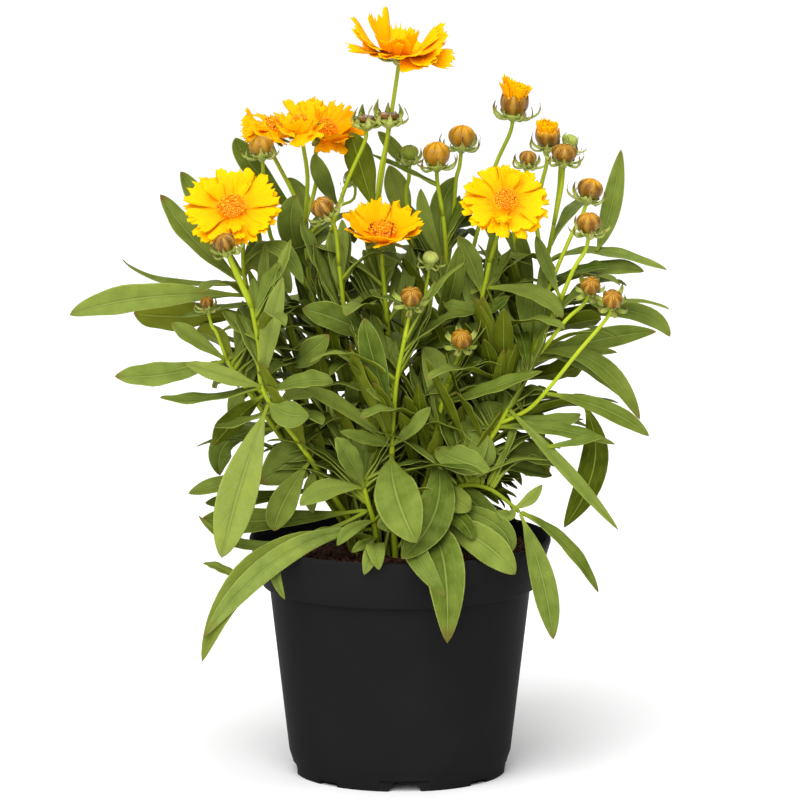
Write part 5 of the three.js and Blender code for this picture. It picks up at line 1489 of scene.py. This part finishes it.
# the bush is dense in its middle and thin towards its rim: height, reach from the axis, reach to the front
bushOutline = [(145, 72, 22), (170, 92, 30), (220, 104, 46), (270, 110, 64), (310, 104, 60), (345, 82, 40),
               (380, 44, 10)]


def inBush(point):
    if point.z < bushOutline[0][0] or point.z > bushOutline[-1][0]:
        return False
    for (low, reachLow, frontLow), (high, reachHigh, frontHigh) in zip(bushOutline, bushOutline[1:]):
        if point.z <= high:
            share = (point.z - low) / (high - low)
            reach = mix(reachLow, reachHigh, share)
            return math.hypot(point.x, point.y * 1.05) < reach and point.y > -mix(frontLow, frontHigh, share)
    return False


def growShoots():
    grown = []
    for shoot in shoots:
        bm = bmesh.new()
        x, y = shoot["base"]
        soilHigh = shootShape["soilHigh"]
        foot = Vector((x, y, soilHigh - shootShape["bury"]))
        spots = [Vector((x, y, soilHigh + shootShape["rise"]))] + [place(spot) for spot in shoot["stem"]]
        plain, fine = [lineThrough(spots)], [lineThrough(spots, lineRule["fine"])]
        tint = (0 if shoot["name"] == "shoot_low_right" else looks.uniform(0.35, 0.8), 0, 0, 1)
        below = [foot, foot.lerp(spots[0], 0.5)]
        tube(bm, below + fine[0], shootShape["stem"], shootShape["sides"], 3, tint, 0.05)
        placeHeads(bm, shoot, plain, fine)
        grown.append((bm, shoot, plain, fine, tipTree(shoot["name"])))
    for bm, shoot, plain, fine, tree in grown:
        tableLeaves(bm, shoot, plain, fine, tree)
    for bm, shoot, plain, fine, tree in grown:
        fillLeaves(bm, shoot, plain, fine, tree)
    for bm, shoot, plain, fine, tree in grown:
        fillGaps(bm, shoot, fine)
        bushLeaves(bm, shoot, fine)
        basalLeaves(bm, fine[0][0])
        greens = [finishes[name] for name in ("leafTop", "leafUnder", "bract", "stalk", "budGreen")]
        name = shoot["name"].replace("shoot", "greens")
        piece = finishPiece(name, bm, greens, [shoot["name"]])
        print("  ", name, len(piece.data.polygons))


growShoots()
print("shoots grown")


# the soil
# a shell turned from a profile of radius and height
def spinProfile(bm, profile, segments):
    corners = [bm.verts.new((radius, 0, high)) for radius, high in profile]
    edges = [bm.edges.new(pair) for pair in zip(corners, corners[1:])]
    bmesh.ops.spin(bm, geom=corners + edges, cent=(0, 0, 0), axis=(0, 0, 1), angle=2 * math.pi,
                   steps=segments, use_merge=True)
    bmesh.ops.remove_doubles(bm, verts=bm.verts, dist=0.01)


soilShape = {"segments": 96, "rings": 20, "edge": 88.2, "high": 140, "crumbs": 900}


def makeSoil():
    shape = soilShape
    bm = bmesh.new()
    profile = [(0, 8.4), (67, 8.4), (79.5, 117.5), (83.2, 123), (shape["edge"], 139)]
    reach = shape["edge"]
    profile += [(reach * (1 - index / shape["rings"]), shape["high"]) for index in range(1, shape["rings"])]
    spinProfile(bm, profile + [(0, shape["high"] + 1)], shape["segments"])
    for vert in bm.verts:
        reach = math.hypot(vert.co.x, vert.co.y)
        if vert.co.z > 138:
            waves = noise.noise(vert.co * 0.045) * 3.2 + noise.noise(vert.co * 0.16) * 1.8
            waves += noise.noise(vert.co * 0.5) * 0.9
            vert.co.z += waves * min(1, (shape["edge"] - reach) / 12 + 0.25)
            vert.co.z = min(vert.co.z, 143)
    for index in range(shape["crumbs"]):
        angle, reach = looks.uniform(0, 6.2832), 86 * math.sqrt(looks.random())
        size = looks.uniform(0.7, 2.6)
        made = bmesh.ops.create_icosphere(bm, subdivisions=1, radius=size)["verts"]
        turn = Euler([looks.uniform(0, 3) for _ in range(3)])
        stretch = Vector([looks.uniform(0.6, 1.4) for _ in range(3)])
        high = shape["high"] + looks.uniform(-0.6, 1.4)
        for vert in made:
            vert.co = Vector(a * b for a, b in zip(vert.co, stretch))
            vert.co.rotate(turn)
            vert.co += around(angle, reach, high)
    return finishPiece("peatFill", bm, [finishes["peat"]], ["soil"])


makeSoil()
print("soil filled")

# the pot
potShape = {
    "segments": 128, "lipRound": 0.7, "footTurn": -87.4,
    "outside": [(0, 0), (22, 0), (24, 4), (57, 4), (59, 0), (66.6, 0), (68, 8), (70, 14), (82.2, 119),
                (86.5, 119.8), (95, 147.5), (94.6, 150)],
    "inside": [(92.6, 150), (84.2, 122.5), (80.3, 117), (67.8, 8), (0, 8)],
    # each cut under the foot: turn, inner reach, lower and upper width, height
    "cuts": [(0, 65.2, 33, 31, 6.9), (0, 55, 22, 13, 6.3), (45, 62, 15, 14, 2.7)],
    "cutOuter": 72,
}


def makePot():
    bm = bmesh.new()
    spinProfile(bm, potShape["outside"] + potShape["inside"], potShape["segments"])
    rings = [edge for edge in bm.edges if abs(edge.verts[0].co.z - edge.verts[1].co.z) < 0.001
             and abs(math.hypot(*edge.verts[0].co.xy) - math.hypot(*edge.verts[1].co.xy)) < 0.001
             and math.hypot(*edge.verts[0].co.xy) > 58]
    bmesh.ops.bevel(bm, geom=rings, offset=potShape["lipRound"], offset_type="OFFSET", segments=3,
                    profile=0.5, affect="EDGES", material=-1)
    for face in bm.faces:
        face.smooth = True
    piece = finishPiece("potShell", bm, [finishes["pot"]], ["pot"])
    cutters = bmesh.new()
    for index in range(4):
        for turn, inner, low, high, tall in potShape["cuts"]:
            angle = math.radians(potShape["footTurn"] + 90 * index + turn)
            made = bmesh.ops.create_cube(cutters, size=1)["verts"]
            for vert in made:
                width = low if vert.co.z < 0 else high
                vert.co = Vector((mix(inner, potShape["cutOuter"], vert.co.x + 0.5), vert.co.y * width,
                                  -1 if vert.co.z < 0 else tall))
                vert.co.rotate(Euler((0, 0, angle)))
    bmesh.ops.scale(cutters, vec=(millimetre,) * 3, verts=cutters.verts)
    mesh = bpy.data.meshes.new("footCuts")
    cutters.to_mesh(mesh)
    cutters.free()
    tool = addObject("footCuts", mesh)
    cut = piece.modifiers.new("foot", "BOOLEAN")
    cut.object, cut.operation, cut.solver, cut.use_self = tool, "DIFFERENCE", "EXACT", True
    graph = bpy.context.evaluated_depsgraph_get()
    whole = bpy.data.meshes.new_from_object(piece.evaluated_get(graph))
    piece.modifiers.clear()
    piece.data = whole
    bpy.data.objects.remove(tool)
    return piece


makePot()
print("pot moulded")


# floor, light and camera
stageShape = {"floor": 12, "aimHigh": 0.2365, "away": 4.0, "lens": 287.1, "sensor": 36}


def makeFloor():
    bm = bmesh.new()
    bmesh.ops.create_grid(bm, x_segments=4, y_segments=4, size=stageShape["floor"])
    mesh = bpy.data.meshes.new("floor")
    bm.to_mesh(mesh)
    bm.free()
    floor = addObject("floor", mesh)
    paper = newFinish("paper", 0.9, 0.1)
    cloud = grain(paper, node(paper, "TexCoord").outputs["Object"], 3, 2)
    paint(paper, blendColour(paper, cloud, rgb(0.98, 0.98, 0.98), rgb(0.99, 0.99, 0.99)))
    mesh.materials.append(paper)


def towards(way):
    return Vector(way).to_track_quat("-Z", "Y").to_euler()


sun = {"power": 3.3, "spread": 58, "way": (0.25, 1.0, -1.0)}

# each soft light: place, aim, size, power
softLights = {
    "front": ((-0.3, -2.2, 0.8), (0, 0, 0.28), (0.8, 1.3), 3.6),
    "low": ((0, -1.6, 0.2), (0, 0, 0.06), (0.35, 0.35), 0.9),
    "top": ((0.1, -0.1, 2.2), (0, 0, 0.3), (1.0, 1.0), 13),
    "behind": ((0, 2.0, 1.5), (0, 0, 0.3), (1.2, 1.0), 7),
}

makeFloor()
keyData = bpy.data.lights.new("key", "SUN")
keyData.energy, keyData.angle = sun["power"], math.radians(sun["spread"])
addObject("key", keyData).rotation_euler = towards(sun["way"])
for name, (spot, aim, size, power) in softLights.items():
    data = bpy.data.lights.new(name, "AREA")
    data.shape, data.size, data.size_y, data.energy = "RECTANGLE", size[0], size[1], power
    lamp = addObject(name, data)
    lamp.location = spot
    lamp.rotation_euler = towards(Vector(aim) - Vector(spot))

# the room is pale to look at and gives a weaker light of its own
studio = {"seen": 1.0, "lit": 0.34}
world = bpy.data.worlds.new("studio")
world.use_nodes = True
room = world.node_tree
lit = room.nodes["Background"]
lit.inputs["Color"].default_value = rgb(1, 1, 1)
lit.inputs["Strength"].default_value = studio["lit"]
seen = room.nodes.new("ShaderNodeBackground")
seen.inputs["Strength"].default_value = studio["seen"]
seen.inputs["Color"].default_value = rgb(1, 1, 1)
rays = room.nodes.new("ShaderNodeLightPath")
choice = room.nodes.new("ShaderNodeMixShader")
room.links.new(rays.outputs["Is Camera Ray"], choice.inputs["Fac"])
room.links.new(lit.outputs["Background"], choice.inputs[1])
room.links.new(seen.outputs["Background"], choice.inputs[2])
room.links.new(choice.outputs["Shader"], room.nodes["World Output"].inputs["Surface"])
bpy.context.scene.world = world
bpy.context.scene.view_settings.view_transform = "Standard"

cameraData = bpy.data.cameras.new("camera")
cameraData.lens, cameraData.sensor_width = stageShape["lens"], stageShape["sensor"]
cameraData.sensor_fit = "AUTO"
camera = addObject("camera", cameraData)
aim = Vector((0, 0, stageShape["aimHigh"]))
camera.location = aim + Vector((0, -tiltCos, tiltSin)) * stageShape["away"]
camera.rotation_euler = towards(aim - camera.location)
bpy.context.scene.camera = camera
print("stage set")
